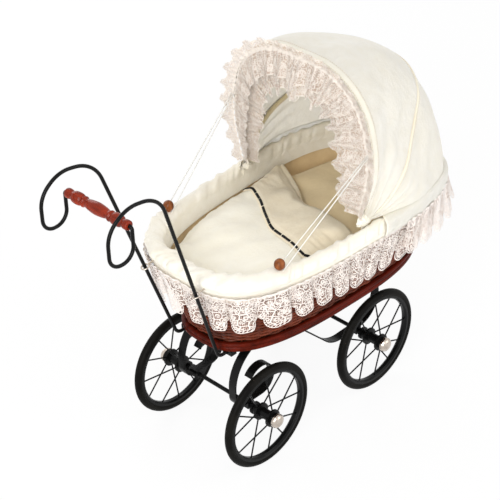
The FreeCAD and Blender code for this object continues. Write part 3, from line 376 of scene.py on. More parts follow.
no_scale = (1.0, 1.0, 1.0)
rubber = worn_finish("tyre_rubber", ((0.0025, 0.0022, 0.0018), (0.01, 0.009, 0.007)),
                     (22.0, 5.0, 0.65), (0.42, 0.75), (0.2, 0.8, 0.42), (no_scale, 900.0, 4.0),
                     (0.0002, 0.35), specular_ior_level=0.07)
enamel = worn_finish("black_enamel", ((0.004, 0.004, 0.004), (0.016, 0.014, 0.012)),
                     (45.0, 6.0, 0.7), (0.6, 0.78), (0.35, 0.8, 0.22), (no_scale, 160.0, 2.0),
                     (0.0003, 0.25), specular_ior_level=0.1, coat_weight=0.05,
                     coat_roughness=0.12)
nickel = worn_finish("nickel", ((0.62, 0.55, 0.48), (0.42, 0.36, 0.31)), (140.0, 4.0),
                     (0.35, 0.75), (0.3, 0.8, 0.14), ((60.0, 2400.0, 60.0), 1.0, 3.0),
                     (0.0001, 0.15), metallic=1.0)
ends = ("foot", "head")
for wheel in ["wheel_%s_%s_" % (end, side_name) for end in ends for side_name, _ in both_sides]:
    dress([wheel + "tyre"], rubber)
    dress([wheel + part for part in ("rim", "spokes", "hub")], enamel)
    dress([wheel + "cap"], nickel)
dress(["axle_foot", "axle_head", "axle_foot_fasteners", "axle_head_fasteners",
       "spring_bolts"], enamel)


def strap_copy(node_name, cuts):
    """A welded copy of a CAD strap, cut across at even heights."""
    shape = bmesh.new()
    shape.from_mesh(nodes_of_pram[node_name].data)
    bmesh.ops.remove_doubles(shape, verts=shape.verts, dist=2e-5)
    low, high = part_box(node_name)
    for step in range(1, cuts):
        height = low[2] + (high[2] - low[2]) * step / cuts
        bmesh.ops.bisect_plane(shape, geom=shape.verts[:] + shape.edges[:] + shape.faces[:],
                               dist=1e-6, plane_co=(0, 0, height), plane_no=(0, 0, 1))
    mesh = bpy.data.meshes.new(node_name + "_strap")
    shape.to_mesh(mesh)
    shape.free()
    mesh.materials.append(enamel)
    return linked(node_name + "_strap", mesh)


for end in ends:
    for side_name, _ in both_sides:
        node_name = "spring_%s_%s" % (end, side_name)
        strap = belongs(strap_copy(node_name, cuts=14), None, node_name)
        x, y, _ = middle_of(node_name).tolist()
        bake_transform(strap)

# ---- base
# A stained plywood board closes the basket underneath. A bent moulding of polished
# mahogany with two rounded edges is pinned round it and hides the ends of the stakes.


def grid_mesh(name, points, along, across, material, **ways):
    """A mesh through rows of points, with the flat cloth's metres along and across as UV."""
    points = np.asarray(points)
    flat = np.stack(np.broadcast_arrays(along, across), axis=-1)
    faces, corners = grid_faces(*points.shape[:2], flat=flat, **ways)
    return named_mesh(name, points.reshape(-1, 3), faces, material, uv=corners)


def ring_surface(name, rings, material, shut=False):
    """A mesh through rings of points; each ring closes on itself."""
    rings = np.asarray(rings)
    across = np.concatenate([[0], np.cumsum(np.linalg.norm(
        np.diff(rings, axis=0), axis=2).mean(axis=1))])
    loop = np.linalg.norm(np.roll(rings[0], -1, axis=0) - rings[0], axis=1)
    return grid_mesh(name, rings, np.concatenate([[0], np.cumsum(loop)]),
                     np.append(across, across[-1])[:, None], material, rounded=True, shut=shut)


def darker(colour, share):
    return tuple(part * share for part in colour)


def wood_finish(name, dark, light, coat, roughness, scale=(14.0, 190.0, 190.0)):
    """Polished wood: long grain, fine pores and a clear lacquer."""
    nodes = Finish(name)
    grain = nodes.noise(nodes.place(scale), 1.0, 6.0, 0.6)
    pores = nodes.noise(nodes.place(tuple(s * 7 for s in scale)), 1.0, 2.0)
    figure = nodes.noise(nodes.place(), 16.0, 3.0)
    colour = nodes.blend(nodes.between(grain * 0.65 + figure * 0.35, 0.36, 0.64), dark, light)
    colour = nodes.blend(nodes.between(pores, 0.6, 0.74) * 0.5, colour, darker(dark, 0.35))
    return nodes.surface(colour, nodes.between(figure, 0.3, 0.7) * 0.12 + roughness, pores,
                         0.0002, 0.25, coat_weight=coat, coat_roughness=0.12,
                         specular_ior_level=0.04)


mahogany = wood_finish("red_mahogany", (0.028, 0.003, 0.001), (0.125, 0.011, 0.004), 0.04, 0.28)
board_stain = wood_finish("board_wood", (0.05, 0.02, 0.01), (0.115, 0.05, 0.026), 0.15, 0.45)


def pram_oval(turns, foot, head, half_width, squareness, taper=0.08):
    """Plan points of a squared oval, symmetric about X and wider towards its head."""
    along, across = (np.sign(f(turns)) * np.abs(f(turns)) ** (2 / squareness)
                     for f in (np.cos, np.sin))
    return np.stack([(foot + head) / 2 + (head - foot) / 2 * along,
                     half_width * across * (1 + taper * along)], axis=-1)


def base_oval(turns, offset=0.0):
    return pram_oval(turns, -0.149 - offset, 0.25 + offset, 0.098 + offset, 2.8)


def rim_oval(turns, offset=0.0):
    return pram_oval(turns, -0.176 - offset, 0.277 + offset, 0.126 + offset, 3.2)


def even_turns(count, oval=rim_oval):
    """Turns of an oval whose points are evenly spaced, starting at the middle of its head."""
    fine = np.linspace(0, full_turn, 40001)
    length = lengths_along(oval(fine))
    return np.interp(np.arange(count) / count * length[-1], length, fine)


dress(["base_board"], board_stain)
moulding_turns = even_turns(300, base_oval)
# how far inside the base's outline, and how high, in mm
moulding_profile = np.array([
    (6.0, 180.0), (1.5, 180.0), (0.4, 180.6), (0.0, 181.8), (0.0, 185.2), (0.4, 186.2),
    (1.4, 186.7), (1.4, 187.1), (0.6, 187.6), (0.2, 188.6), (0.3, 191.0), (0.9, 192.2),
    (2.2, 193.0), (5.8, 193.0), (6.0, 192.9)]) / 1000
belongs(ring_surface("mahogany_moulding", [
    np.column_stack([base_oval(moulding_turns, -inset), np.full(len(moulding_turns), z)])
    for inset, z in moulding_profile], mahogany, shut=True), chassis, "base_moulding")

# ---- wicker basket
# Willow rods woven in and out of upright stakes, stained dark mahogany and varnished.
# The weave is drawn as round strands that follow the oval at each height.


def wicker_finish():
    nodes = Finish("stained_willow")
    spot = nodes.place()
    streak = nodes.noise(nodes.place((60.0, 60.0, 420.0)), 1.0, 4.0)
    patch = nodes.noise(spot, 26.0, 4.0)
    speck = nodes.noise(spot, 700.0, 2.0)
    colour = nodes.blend(nodes.between(streak * 0.6 + patch * 0.4, 0.38, 0.64),
                         (0.06, 0.012, 0.005), (0.205, 0.043, 0.018))
    colour = nodes.blend(nodes.between(speck, 0.62, 0.74) * 0.5, colour, (0.22, 0.052, 0.024))
    return nodes.surface(colour, nodes.between(patch, 0.3, 0.7) * 0.16 + 0.3, streak, 0.0003,
                         0.5, coat_weight=0.08, coat_roughness=0.2, specular_ior_level=0.16)


willow = wicker_finish()
wall_low, wall_high, wall_foot = 0.188, 0.303, -0.007726


def wall_plan(turns, height, offset=0.0):
    """The basket's outer outline at a height; it widens from the base to the rim."""
    share = np.minimum((height - wall_low) / (wall_high - wall_low), 1.0)
    share = np.reshape(share, (-1, 1))
    return base_oval(turns, wall_foot + offset) * (1 - share) + rim_oval(turns, offset) * share


def basket_ring(turns, height, offset):
    """The basket's outer face at a height, moved outward."""
    return np.column_stack([wall_plan(turns, height, offset), np.full(len(turns), height)])


def outward_of(points):
    """The level outward direction at each point of a ring."""
    ahead = np.roll(points, -1, axis=0) - np.roll(points, 1, axis=0)
    return of_length_one(np.column_stack([ahead[:, 1], -ahead[:, 0], np.zeros(len(points))]))


def outward_of_strip(points):
    """The same for a strip whose ends don't meet."""
    out = outward_of(points)
    out[0], out[-1] = out[1], out[-2]
    return out


def shape_tree(name, inputs, output):
    """A geometry node tree whose inputs are its guides, some numbers and a finish."""
    tree = bpy.data.node_groups.new(name, "GeometryNodeTree")
    for label, kind in [("Guides", "Geometry")] + inputs + [("Finish", "Material")]:
        tree.interface.new_socket(label, in_out="INPUT", socket_type="NodeSocket" + kind)
    tree.interface.new_socket(output, in_out="OUTPUT", socket_type="NodeSocketGeometry")
    nodes = Nodes(tree)
    group = nodes.add("NodeGroupInput").output.node
    return nodes, {socket.name: Socket(nodes, socket) for socket in group.outputs}


def tree_end(nodes, shapes, finish, output):
    """Makes a tree's shapes real, dresses them and gives them out."""
    real = nodes.add("GeometryNodeRealizeInstances", inputs={"Geometry": shapes})
    nodes.add("NodeGroupOutput", inputs={output: nodes.add("GeometryNodeSetMaterial", inputs={
        "Geometry": real, "Material": finish})})
    return nodes.tree


def weave_tree():
    """Turns guide lines into strands that pass in and out of the stakes."""
    nodes, given = shape_tree("wicker_weave", [
        ("Strand radius", "Float"), ("Weave depth", "Float"), ("Stakes", "Int"),
        ("Unevenness", "Float")], "Strands")
    share, phase, outward = [
        nodes.add("GeometryNodeInputNamedAttribute", {"data_type": kind}, {"Name": label})
        for label, kind in (("share", "FLOAT"), ("phase", "FLOAT"), ("outward", "FLOAT_VECTOR"))]
    wave = nodes.math("SINE", (share * given["Stakes"] + phase) * math.pi)
    wander = nodes.add("ShaderNodeTexNoise", {"noise_dimensions": "3D"}, {
        "Vector": nodes.add("GeometryNodeInputPosition"), "Scale": 38.0, "Detail": 2.0})
    push = wave * given["Weave depth"] + (wander - 0.5) * given["Unevenness"]
    moved = nodes.add("GeometryNodeSetPosition", inputs={
        "Geometry": given["Guides"], "Offset": nodes.add(
            "ShaderNodeVectorMath", {"operation": "SCALE"}, {0: outward, "Scale": push})})
    section = nodes.add("GeometryNodeCurvePrimitiveCircle", {"mode": "RADIUS"},
                        {"Resolution": 6, "Radius": given["Strand radius"]})
    strands = nodes.add("GeometryNodeCurveToMesh", inputs={
        "Curve": nodes.add("GeometryNodeMeshToCurve", inputs={"Mesh": moved}),
        "Profile Curve": section, "Fill Caps": True})
    smooth = nodes.add("GeometryNodeSetShadeSmooth", inputs={
        "Geometry": strands, "Shade Smooth": True})
    return tree_end(nodes, smooth, given["Finish"], "Strands")


def guide_lines(name, lines, closed=False, **read):
    """A mesh of edges only, with what its tree reads at each point."""
    points, edges = [], []
    for line in lines:
        first, count = len(points), len(line)
        points += [tuple(p) for p in line]
        edges += [(first + k, first + (k + 1) % count) for k in range(count - (not closed))]
    mesh = bpy.data.meshes.new(name)
    mesh.from_pydata(points, edges, [])
    for label, numbers in read.items():
        numbers = np.asarray(numbers, dtype=np.float32)
        kind, key = ("FLOAT", "value") if numbers.ndim == 1 else ("FLOAT_VECTOR", "vector")
        mesh.attributes.new(label, kind, "POINT").data.foreach_set(key, numbers.ravel())
    return linked(name, mesh)


def made_real(holder, tree, material, **inputs):
    """Runs a node tree on an object once and keeps the result as its plain mesh."""
    modifier = holder.modifiers.new(tree.name, "NODES")
    modifier.node_group = tree
    inputs["Finish"] = material
    for item in tree.interface.items_tree:
        if item.item_type == "SOCKET" and item.in_out == "INPUT":
            key = item.name.replace(" ", "_")
            if key in inputs:
                modifier[item.identifier] = inputs[key]
    holder.update_tag()
    bpy.context.view_layer.update()
    result = made_mesh(holder)
    holder.modifiers.remove(modifier)
    result.name = holder.name
    holder.data = result
    result.materials.clear()
    result.materials.append(material)
    return holder


stakes, stake_size, strand_size, strand_pitch = 66, 0.0026, 0.0036, 0.0034
first_course, course_count, wall_middle = 0.1945, 33, -0.0025
weave_depth, unevenness = 0.0013, 0.0008
weave_turns, weave = even_turns(264), weave_tree()
courses = [basket_ring(weave_turns, first_course + row * strand_pitch, wall_middle)
           for row in range(course_count)]
around = len(weave_turns)
wall = made_real(
    guide_lines("willow_strands", courses, True,
                share=np.tile(np.arange(around) / around, len(courses)),
                phase=np.repeat(np.arange(len(courses)) % 2.0, around),
                outward=np.concatenate([outward_of(ring) for ring in courses])),
    weave, willow, Strand_radius=strand_size / 2, Weave_depth=weave_depth, Stakes=stakes,
    Unevenness=unevenness)
stake_points, basket_middle = 9, 0.05
stake_lines, stake_out = [], []
for k in range(stakes):
    turn = np.array([weave_turns[int((k + 0.5) * around / stakes)]])
    stake_lines.append(np.concatenate([basket_ring(turn, z, wall_middle) for z in np.linspace(
        wall_low + 0.001, wall_high - 0.001, stake_points)]))
    top = stake_lines[-1][-1]
    out = top - np.array([basket_middle, 0, top[2]])
    stake_out.append(np.tile(out / np.linalg.norm(out), (stake_points, 1)))
still = np.zeros(stake_points * stakes)
uprights = made_real(
    guide_lines("willow_stakes", stake_lines, share=still, phase=still,
                outward=np.concatenate(stake_out)),
    weave, willow, Strand_radius=stake_size / 2, Weave_depth=0.0, Stakes=stakes, Unevenness=0.0)
belongs(wall, chassis, "wicker_basket")
belongs(uprights, chassis)
dress(["rim_hoop"], willow)

# ---- rim cover
# A bias-cut band of cream cotton drawn over the braided rim. Its upper half is gathered
# into a soft roll on the inner side; below a stitched line it lies smoother.


def slope(number, low, high):
    """0 below low, 1 above high, and a straight slope between them."""
    return np.clip((number - low) / (high - low), 0, 1)


def hump(number, middle, width):
    """1 at the middle, falling smoothly to 0 at about twice the width from it."""
    return np.exp(-((number - middle) / width) ** 2)


def finer_line(stations, count):
    """Points evenly spaced along a smooth line through stations."""
    stations = np.asarray(stations, dtype=float)
    length, last = lengths_along(stations), len(stations) - 1
    spots = np.linspace(0, length[-1], count)
    k = np.clip(np.searchsorted(length, spots) - 1, 0, last - 1)
    part = ((spots - length[k]) / (length[k + 1] - length[k]))[:, None]
    before, start = stations[np.maximum(k - 1, 0)], stations[k]
    end, after = stations[k + 1], stations[np.minimum(k + 2, last)]
    return ((2 * part ** 3 - 3 * part ** 2 + 1) * start
            + (part ** 3 - 2 * part ** 2 + part) * (end - before) / 2
            + (3 * part ** 2 - 2 * part ** 3) * end
            + (part ** 3 - part ** 2) * (after - start) / 2)


def ripple(share, knots, seed, phase=0.0):
    """Smooth random numbers between -1 and 1 that close on themselves over a share of 1."""
    numbers = np.random.RandomState(seed).uniform(-1, 1, knots)
    spot = (np.asarray(share) + phase) % 1.0 * knots
    low = np.floor(spot).astype(int) % knots
    part = spot - np.floor(spot)
    part = part * part * (3 - 2 * part)
    return numbers[low] * (1 - part) + numbers[(low + 1) % knots] * part


def cotton_finish(name, colour, crease_shade, crease=1.0, **thin):
    """Plain-woven cotton: crossed threads, slubs, fine creases and a slight nap, with painted
    shade in the creases.
    """
    nodes = Finish(name)
    spot, thread_gap = nodes.place(), 0.00045
    threads = nodes.noise(nodes.place((1.0 / thread_gap,) * 3), 1.0, 2.0)
    slubs = nodes.noise(nodes.place((90.0, 900.0, 900.0)), 1.0, 2.0)
    creases = nodes.noise(spot, 65.0, 5.0, 0.62)
    clouds = nodes.noise(spot, 9.0, 4.0, 0.6)
    # painted shade: the colour darkens towards the second colour in the hollows of the crease
    # relief, and varies at random in soft clouds
    base = nodes.blend(nodes.between(clouds * 0.55 + creases * 0.45, 0.36, 0.66), crease_shade, colour)
    base = nodes.blend(nodes.between(threads, 0.3, 0.72) * 0.14, base, darker(crease_shade, 0.78))
    height = threads * 0.22 + slubs * 0.12 + creases * (1.6 * crease)
    return nodes.surface(base, 0.85, height, 0.0008, 0.55, sheen_weight=0.25,
                         sheen_roughness=0.5, specular_ior_level=0.25, **thin)


cream_cotton = cotton_finish("cream_cotton", (0.925, 0.89, 0.805), (0.85, 0.795, 0.665))
# how far outside the rim's outline it lies, and how high, in mm
cover_stations = [(-13.1, 285.6), (-13.6, 292.0), (-14.2, 299.0), (-14.4, 306.0), (-13.4, 311.5),
                  (-10.6, 315.6), (-6.6, 317.6), (-2.4, 317.3), (1.4, 315.0), (3.6, 311.0),
                  (4.4, 307.0), (4.2, 303.6), (3.0, 301.6), (3.7, 299.9), (4.3, 296.0),
                  (4.3, 291.0), (4.0, 287.0), (3.4, 284.9)]


def foot_swell(turns):
    """Shares from 0 to 1 by which the roll is fuller towards the foot, and at its corners."""
    towards = slope(0.3 - np.cos(turns), 0, 1.3)
    towards = towards * towards * (3 - 2 * towards)
    from_corner = np.abs(turns % full_turn - math.pi) - math.pi / 4
    return towards, towards * hump(from_corner, 0, 0.45)


roll_height, roll_half, inner_edge, outer_edge = 0.311, 0.0085, -0.0134, 0.0044
cover_columns, pucker_rise, fuller_pucker, pucker_lift, foot_rise = (
    680, 0.0031, 0.0022, 0.0024, 0.0085)
outer_swell, inner_swell, corner_swell = 0.0055, 0.0035, 0.0065
cover_turns = even_turns(cover_columns)
cover_share = np.arange(cover_columns) / cover_columns
fuller, fullest = foot_swell(cover_turns)
cover_out = outward_of(basket_ring(cover_turns, wall_high, 0.0))[:, :2]
cover_rings = []
for offset, height in finer_line(cover_stations, 48) / 1000:
    roll = hump(height, roll_height, roll_half) * (1.0 if offset > -0.0125 else 0.6)
    strip = 1.0 if height < wall_high and offset > 0 else 0.0
    lag = (offset + 0.014) * 0.9
    pucker = np.maximum(
        ripple(cover_share, 52, 3, lag) * 0.45 + ripple(cover_share, 29, 5) * 0.3
        + (np.abs(ripple(cover_share, 104, 4, lag * 1.3)) - 0.3) * 1.3, -0.5)
    rise = (roll * (pucker_rise + fuller_pucker * fuller) * pucker
            + strip * 0.0004 * ripple(cover_share, 60, 6))
    high, outer = slope(height, 0.29, 0.308), slope(offset, inner_edge, outer_edge)
    swell = high * (fuller * (outer_swell * outer - inner_swell) + fullest * corner_swell * outer)
    out = (swell + rise * (1 if offset > -0.004 else -0.7))[:, None]
    if height < wall_high:
        plan = wall_plan(cover_turns, height, offset) + cover_out * out
    else:
        plan = wall_plan(cover_turns, wall_high) + cover_out * (offset + out)
    cover_rings.append(np.column_stack([
        plan, height + roll * pucker_lift * pucker + high * foot_rise * fuller]))
rim_cloth = belongs(ring_surface("rim_cover_cloth", cover_rings, cream_cotton),
                    chassis, "rim_cover")

# ---- lining
# A loose bag of cotton inside the wicker, caught under the rim cover; its darker beige paints
# the shade inside. It hangs in soft upright folds where it is fuller than the wall behind it.
# painted shade: a darker beige copy of the cream cotton, for the shade inside the basket
beige_cotton = cotton_finish("beige_cotton", (0.87, 0.67, 0.39), (0.75, 0.55, 0.3))
lining_columns, lining_low, lining_high, lining_inset = 360, 0.1905, 0.2846, -0.0072
lining_turns = even_turns(lining_columns)
lining_share = np.arange(lining_columns) / lining_columns
lining_rings = []
for height in np.linspace(lining_low, lining_high, 22):
    hang = math.sin(math.pi * slope(height, 0.19, 0.285))
    fold = (ripple(lining_share, 26, 11, (0.28 - height) * 0.25) * 0.6
            + ripple(lining_share, 58, 12, (height - 0.28) * 0.15) * 0.4)
    ring = basket_ring(lining_turns, height, lining_inset)
    inward = np.maximum(0.0012 + (0.0008 + 0.0022 * hang) * (fold + 0.6), 0)
    ring[:, :2] -= outward_of(ring)[:, :2] * inward[:, None]
    lining_rings.append(ring)
lining = belongs(ring_surface("basket_lining", lining_rings[::-1], beige_cotton),
                 chassis, "basket_liner")

# ---- lace
# Machine-made cotton lace, gathered to a heading. It hangs in deep tongues with a
# scalloped edge. Each tongue is a share of its pitch wide and rounded by a power.
tongue_share, tongue_power = 0.64, 2.6


def lace_finish(name, pitch, gap, drop, net_tone=(0.78, 0.62, 0.53),
                cord_tone=(0.88, 0.81, 0.755), net_thread=0.11, motif=0.0105):
    """Net, corded cells and filled petals; a worked edge follows each tongue, in flat metres."""
    nodes = Finish(name)
    spot = nodes.place(source="UV")
    across, down = nodes.part(spot, 0), nodes.part(spot, 1)

    def cells(size, feature, randomness):
        return nodes.add("ShaderNodeTexVoronoi", {
            "voronoi_dimensions": "2D", "feature": feature},
            {"Vector": spot, "Scale": 1 / size, "Randomness": randomness})

    beside = nodes.math("ABSOLUTE", nodes.math("FRACT", across / pitch) * 2 - 1) / tongue_share
    below = nodes.math("MAXIMUM", (down - gap) / (drop - gap), 0.0)
    edge = nodes.math("POWER", beside, tongue_power) + below * below
    lower, upper = down > gap - 0.0012, down < gap - 0.001
    worked = (edge > 0.83) * lower
    worked_gap = (beside > 0.93) * (down > gap - 0.0026)
    inner_cord = nodes.math("ABSOLUTE", edge - 0.5) < 0.035
    eyelets = (edge > 0.58) * (edge < 0.8) * lower
    bars = nodes.wave(across + down * 0.7, 0.0042) > 0.45
    net = cells(0.0022, "DISTANCE_TO_EDGE", 0.6) < net_thread
    corded = cells(motif, "DISTANCE_TO_EDGE", 0.85) < 0.085
    heart = cells(motif, "F1", 0.85)
    petals = (heart < 0.36) * (cells(0.003, "DISTANCE_TO_EDGE", 1.0) < 0.26) * (heart > 0.09)
    vine = nodes.math("ABSOLUTE", down - (gap * 0.52 + nodes.wave(across, 0.024) * 0.0042))
    fabric = nodes.largest(corded, petals, vine < 0.0009, down < 0.003, inner_cord * lower)
    fabric = nodes.largest(fabric * (1.0 - eyelets), eyelets * bars, worked, worked_gap)
    threads = nodes.largest(fabric, net * (1.0 - eyelets))
    picots = nodes.wave(across + down * 1.3, 0.0034) * 0.022
    inside = nodes.largest(edge + picots < 0.975, upper)
    clouds = nodes.noise(nodes.place(), 30.0, 3.0)
    colour = nodes.blend(nodes.between(clouds, 0.35, 0.7) * 0.5, net_tone, darker(net_tone, 0.88))
    colour = nodes.blend(fabric * 0.92, colour, cord_tone)
    return nodes.surface(colour, 0.8, fabric + net * 0.4, 0.0005, 0.8, threads * inside,
                         sheen_weight=0.2, specular_ior_level=0.2)


class Gathers:
    """Where each column of a gathered lace lies in its folds and its tongue."""

    def __init__(self, places, folds, seed, depth, gap, drop):
        self.phase = places * folds + 0.24 * ripple(places, int(folds * 0.6), seed)
        self.folds, self.depth, self.gap, self.drop = folds, depth, gap, drop
        beside = 2 * (self.phase % 1.0) - 1
        self.tongue = np.sqrt(np.clip(1 - (np.abs(beside) / tongue_share) ** tongue_power, 0, 1))
        self.crest = 1 - np.abs(beside) ** 2.4
        self.tall = 0.95 + 0.25 * ripple(places, int(folds * 0.9), seed + 1)
        self.sideways = np.sin(math.pi * beside)

    def at(self, share, sway, flutter):
        """At a share of the way down: the way from the heading, that as a share of the drop,
        how far the folds stand out, and how far they lean over sideways."""
        hang = (self.gap + (self.drop - self.gap) * self.tongue) * share
        part = hang / self.drop
        size = self.depth * (0.1 + 0.9 * part ** 0.8) * self.tall
        push = size * (1.5 * self.crest - 0.9) + flutter * np.sin(3 * full_turn * self.phase)
        return hang, part, push, sway * size * self.sideways


def lace_mesh(name, finish_name, points, gathers, flat_length, looks=(), closed=False,
              turned=False):
    """The lace as a mesh whose lower edge is cut in tongues, with its flat metres as UV."""
    material = lace_finish(finish_name, flat_length / gathers.folds, gathers.gap, gathers.drop,
                           *looks)
    points, phase, tongue = np.array(points), gathers.phase, gathers.tongue
    if turned:
        points, phase, tongue = points[:, ::-1], gathers.folds - phase[::-1], tongue[::-1]
    along = phase / gathers.folds * flat_length
    reach = gathers.gap + (gathers.drop - gathers.gap) * tongue
    if closed:
        along, reach = np.append(along, along[0] + flat_length), np.append(reach, reach[0])
    shares = np.arange(len(points))[:, None] / (len(points) - 1)
    return grid_mesh(name, points, along, reach * shares, material, rounded=closed)


# where the left push rod's straight part starts, how it runs on, and its room in the lace
rod_foot, rod_run, rod_clearance = (-0.153, 0.04, 0.1775), (-0.103, 0.019, 0.3175), 0.0048
lace_lift, lace_swell = 0.0075, 0.002


def gathered_ring(name, finish_name, columns, rows, top, offset_top, flare, flat_length, folding,
                  start=0.0, end=1.0, closed=True, head_flare=0.0):
    """A gathered band of lace hung round the basket from a share of its way round to another."""
    places = np.arange(columns) / columns if closed else np.linspace(0, 1, columns)
    share = start + (end - start) * places
    turns = np.interp(share % 1.0, np.arange(4001) / 4000, np.append(even_turns(4000), full_turn))
    gathers = Gathers(places, **folding)
    fuller, fullest = foot_swell(turns)
    out = (outward_of if closed else outward_of_strip)(
        np.column_stack([rim_oval(turns), turns * 0]))[:, :2]
    ahead = np.column_stack([-out[:, 1], out[:, 0]])
    towards_head = np.clip(np.cos(turns), 0, 1) ** 2
    points = []
    for row in range(rows + 1):
        hang, part, push, slip = gathers.at(row / rows, 0.62, 0.0007)
        height = (top + lace_lift * fuller - hang * (1 + 0.05 * (gathers.tall - 1))
                  + head_flare * (0.4 + 0.1 * part) * towards_head)
        offset = offset_top + flare * part + head_flare * part ** 1.3 * towards_head
        swell = (lace_swell * fuller + corner_swell * fullest) * (1 - 0.25 * part)
        plan = (wall_plan(turns, height) + out * (offset + swell + push)[:, None]
                + ahead * slip[:, None])
        # the push rods press the lace in where they pass it
        up_rod = (height - rod_foot[2]) / rod_run[2]
        beside_rod = np.abs(np.abs(plan[:, 1]) - (rod_foot[1] + rod_run[1] * up_rod))
        clear = (rod_foot[0] + rod_run[0] * up_rod + rod_clearance
                 - 0.6 * np.maximum(beside_rod - 0.002, 0))
        plan[:, 0] = np.where(plan[:, 0] < 0, np.maximum(plan[:, 0], clear), plan[:, 0])
        points.append(np.column_stack([plan, height]))
    return lace_mesh(name, finish_name, points, gathers, flat_length, closed=closed)


# the skirt is half as long again as the rim is round, gathered under the cover band
skirt = belongs(gathered_ring(
    "gathered_skirt", "skirt_lace", columns=1600, rows=22, top=0.2945, offset_top=0.0052,
    flare=0.007, flat_length=1.75,
    folding=dict(folds=32, seed=21, depth=0.0078, gap=0.047, drop=0.066)),
    chassis, "skirt_lace")

# ---- bedding
# A plump kapok mattress, a head pillow and a thick quilt, all in cream cotton. Each is
# two cloths sewn round the edge and filled, so its sides are drawn in and its top crowns.


def closed_up(piece, fill=True):
    """Fills a form's open ends, if asked, and turns all its faces outward."""
    shape = bmesh.new()
    shape.from_mesh(piece.data)
    if fill:
        bmesh.ops.holes_fill(shape, edges=[e for e in shape.edges if e.is_boundary], sides=0)
    bmesh.ops.recalc_face_normals(shape, faces=shape.faces)
    shape.to_mesh(piece.data)
    shape.free()
    return piece


def lumps(points, size, seed):
    """Smooth random numbers in space, from -1 to 1."""
    rng = np.random.RandomState(seed)
    total = np.zeros(len(points))
    for _ in range(6):
        way = rng.normal(size=3)
        way /= np.linalg.norm(way)
        total += np.sin(points @ way * (full_turn / (size * rng.uniform(0.7, 1.5)))
                        + rng.uniform(0, 6.28))
    return total / 3.2


quilt_cotton = cotton_finish("quilt_cotton", (0.925, 0.895, 0.795), (0.88, 0.835, 0.705), 1.4)
# painted shade: the pillow and the mattress take a darker tan copy of the cream cotton, for the
# shade under the hood
pillow_cotton = cotton_finish("pillow_cotton", (0.89, 0.74, 0.48), (0.8, 0.64, 0.39), 1.4)


def stuffed_form(name, levels, low_x, high_x, material, columns=120):
    """A closed form inside the lining, through (height, inset, share of its size) levels."""
    turns = even_turns(columns)
    rings = []
    for height, inset, shrink in levels:
        ring = basket_ring(turns, height, -inset)
        ring[:, 0] = np.clip(ring[:, 0], low_x, high_x)
        centre = np.array([(ring[:, 0].min() + ring[:, 0].max()) / 2, 0.0])
        ring[:, :2] = centre + (ring[:, :2] - centre) * shrink
        rings.append(ring)
    return closed_up(ring_surface(name, rings[::-1], material))


def points_of(mesh):
    return np.array([v.co for v in mesh.vertices])


def set_points(mesh, points):
    mesh.vertices.foreach_set("co", points.astype(np.float32).ravel())
    mesh.update()


def surface_of(piece):
    """A piece's mesh as a tree of faces that rays can be cast at."""
    return BVHTree.FromPolygons([v.co.copy() for v in piece.data.vertices],
                                [tuple(p.vertices) for p in piece.data.polygons])


def plump(piece, pressure, cap, voxel=0.005, frames=20):
    """Fills a closed form: an even mesh, then cloth blown from inside, and no point moved far."""
    remesh = piece.modifiers.new("even_mesh", "REMESH")
    remesh.mode, remesh.voxel_size, remesh.use_smooth_shade = "VOXEL", voxel, True
    bpy.context.view_layer.update()
    even = made_mesh(piece)
    piece.modifiers.clear()
    piece.data = even
    rest = points_of(even)
    cloth = piece.modifiers.new("filling", "CLOTH")
    for setting, number in {
            "quality": 4, "mass": 0.25, "tension_stiffness": 12, "compression_stiffness": 12,
            "bending_stiffness": 0.4, "use_pressure": True,
            "uniform_pressure_force": pressure}.items():
        setattr(cloth.settings, setting, number)
    cloth.settings.effector_weights.gravity = 0
    cloth.point_cache.frame_start, cloth.point_cache.frame_end = 1, frames
    for step in range(1, frames + 1):
        scene.frame_set(step)
    blown = made_mesh(piece)
    moved = points_of(blown) - rest
    piece.modifiers.clear()
    bpy.data.meshes.remove(blown)
    far = np.linalg.norm(moved, axis=1)
    filled = rest + moved * np.minimum(1.0, cap / np.maximum(far, 1e-9))[:, None]
    # tucked in afterwards, it reaches as far along and across as before
    (low, high), (foot, head) = [(plan.min(axis=0), plan.max(axis=0))
                                 for plan in (filled[:, :2], rest[:, :2])]
    filled[:, :2] = (filled[:, :2] - low) * (head - foot) / (high - low) + foot
    set_points(even, filled)
    scene.frame_set(1)
    even.polygons.foreach_set("use_smooth", [True] * len(even.polygons))
    return piece


# the line over which the quilt is folded back, from its left side to its right; the quilt
# and the pillow are made square at their ends and then drawn to it, the pillow only up to
# pillow_hold
fold_line = np.array([(0.124, 0.097), (0.114, 0.074), (0.098, 0.043), (0.077, 0.013),
                      (0.072, -0.004), (0.077, -0.024), (0.078, -0.05), (0.072, -0.076),
                      (0.064, -0.095)])
mattress_top, quilt_end, pillow_end, pillow_hold = 0.2346, 0.106, 0.116, 0.205


def fold_at(across):
    """How far towards the head the quilt's fold lies at a distance to the left."""
    return np.interp(across, fold_line[::-1, 1], fold_line[::-1, 0])


def dent_quilt(points):
    """Draws the head end to the fold line; two soft valleys, puckers and uneven filling."""
    x, y, z = points.T
    x += slope(x, 0.02, 0.106) * (fold_at(y) - 0.004 - quilt_end)
    top, rim = slope(z, 0.27, 0.29), slope(np.abs(y), 0.055, 0.095)
    z += top * (0.0027 * lumps(points, 0.1, 1) + 0.0017 * lumps(points, 0.045, 2))
    first_valley = hump(x + 0.105 - 0.25 * (y - 0.045), 0, 0.01) * slope(y, 0, 0.05)
    z -= top * 0.005 * first_valley
    second_valley = hump(y + 0.02 + 0.55 * (x + 0.02), 0, 0.014) * slope(-x, -0.02, 0.04)
    z -= top * 0.0026 * second_valley
    z += top * rim * 0.0009 * np.sin(x * full_turn / 0.017 + 2 * np.sin(x * 90))
    np.clip(z, mattress_top, 0.306, out=z)


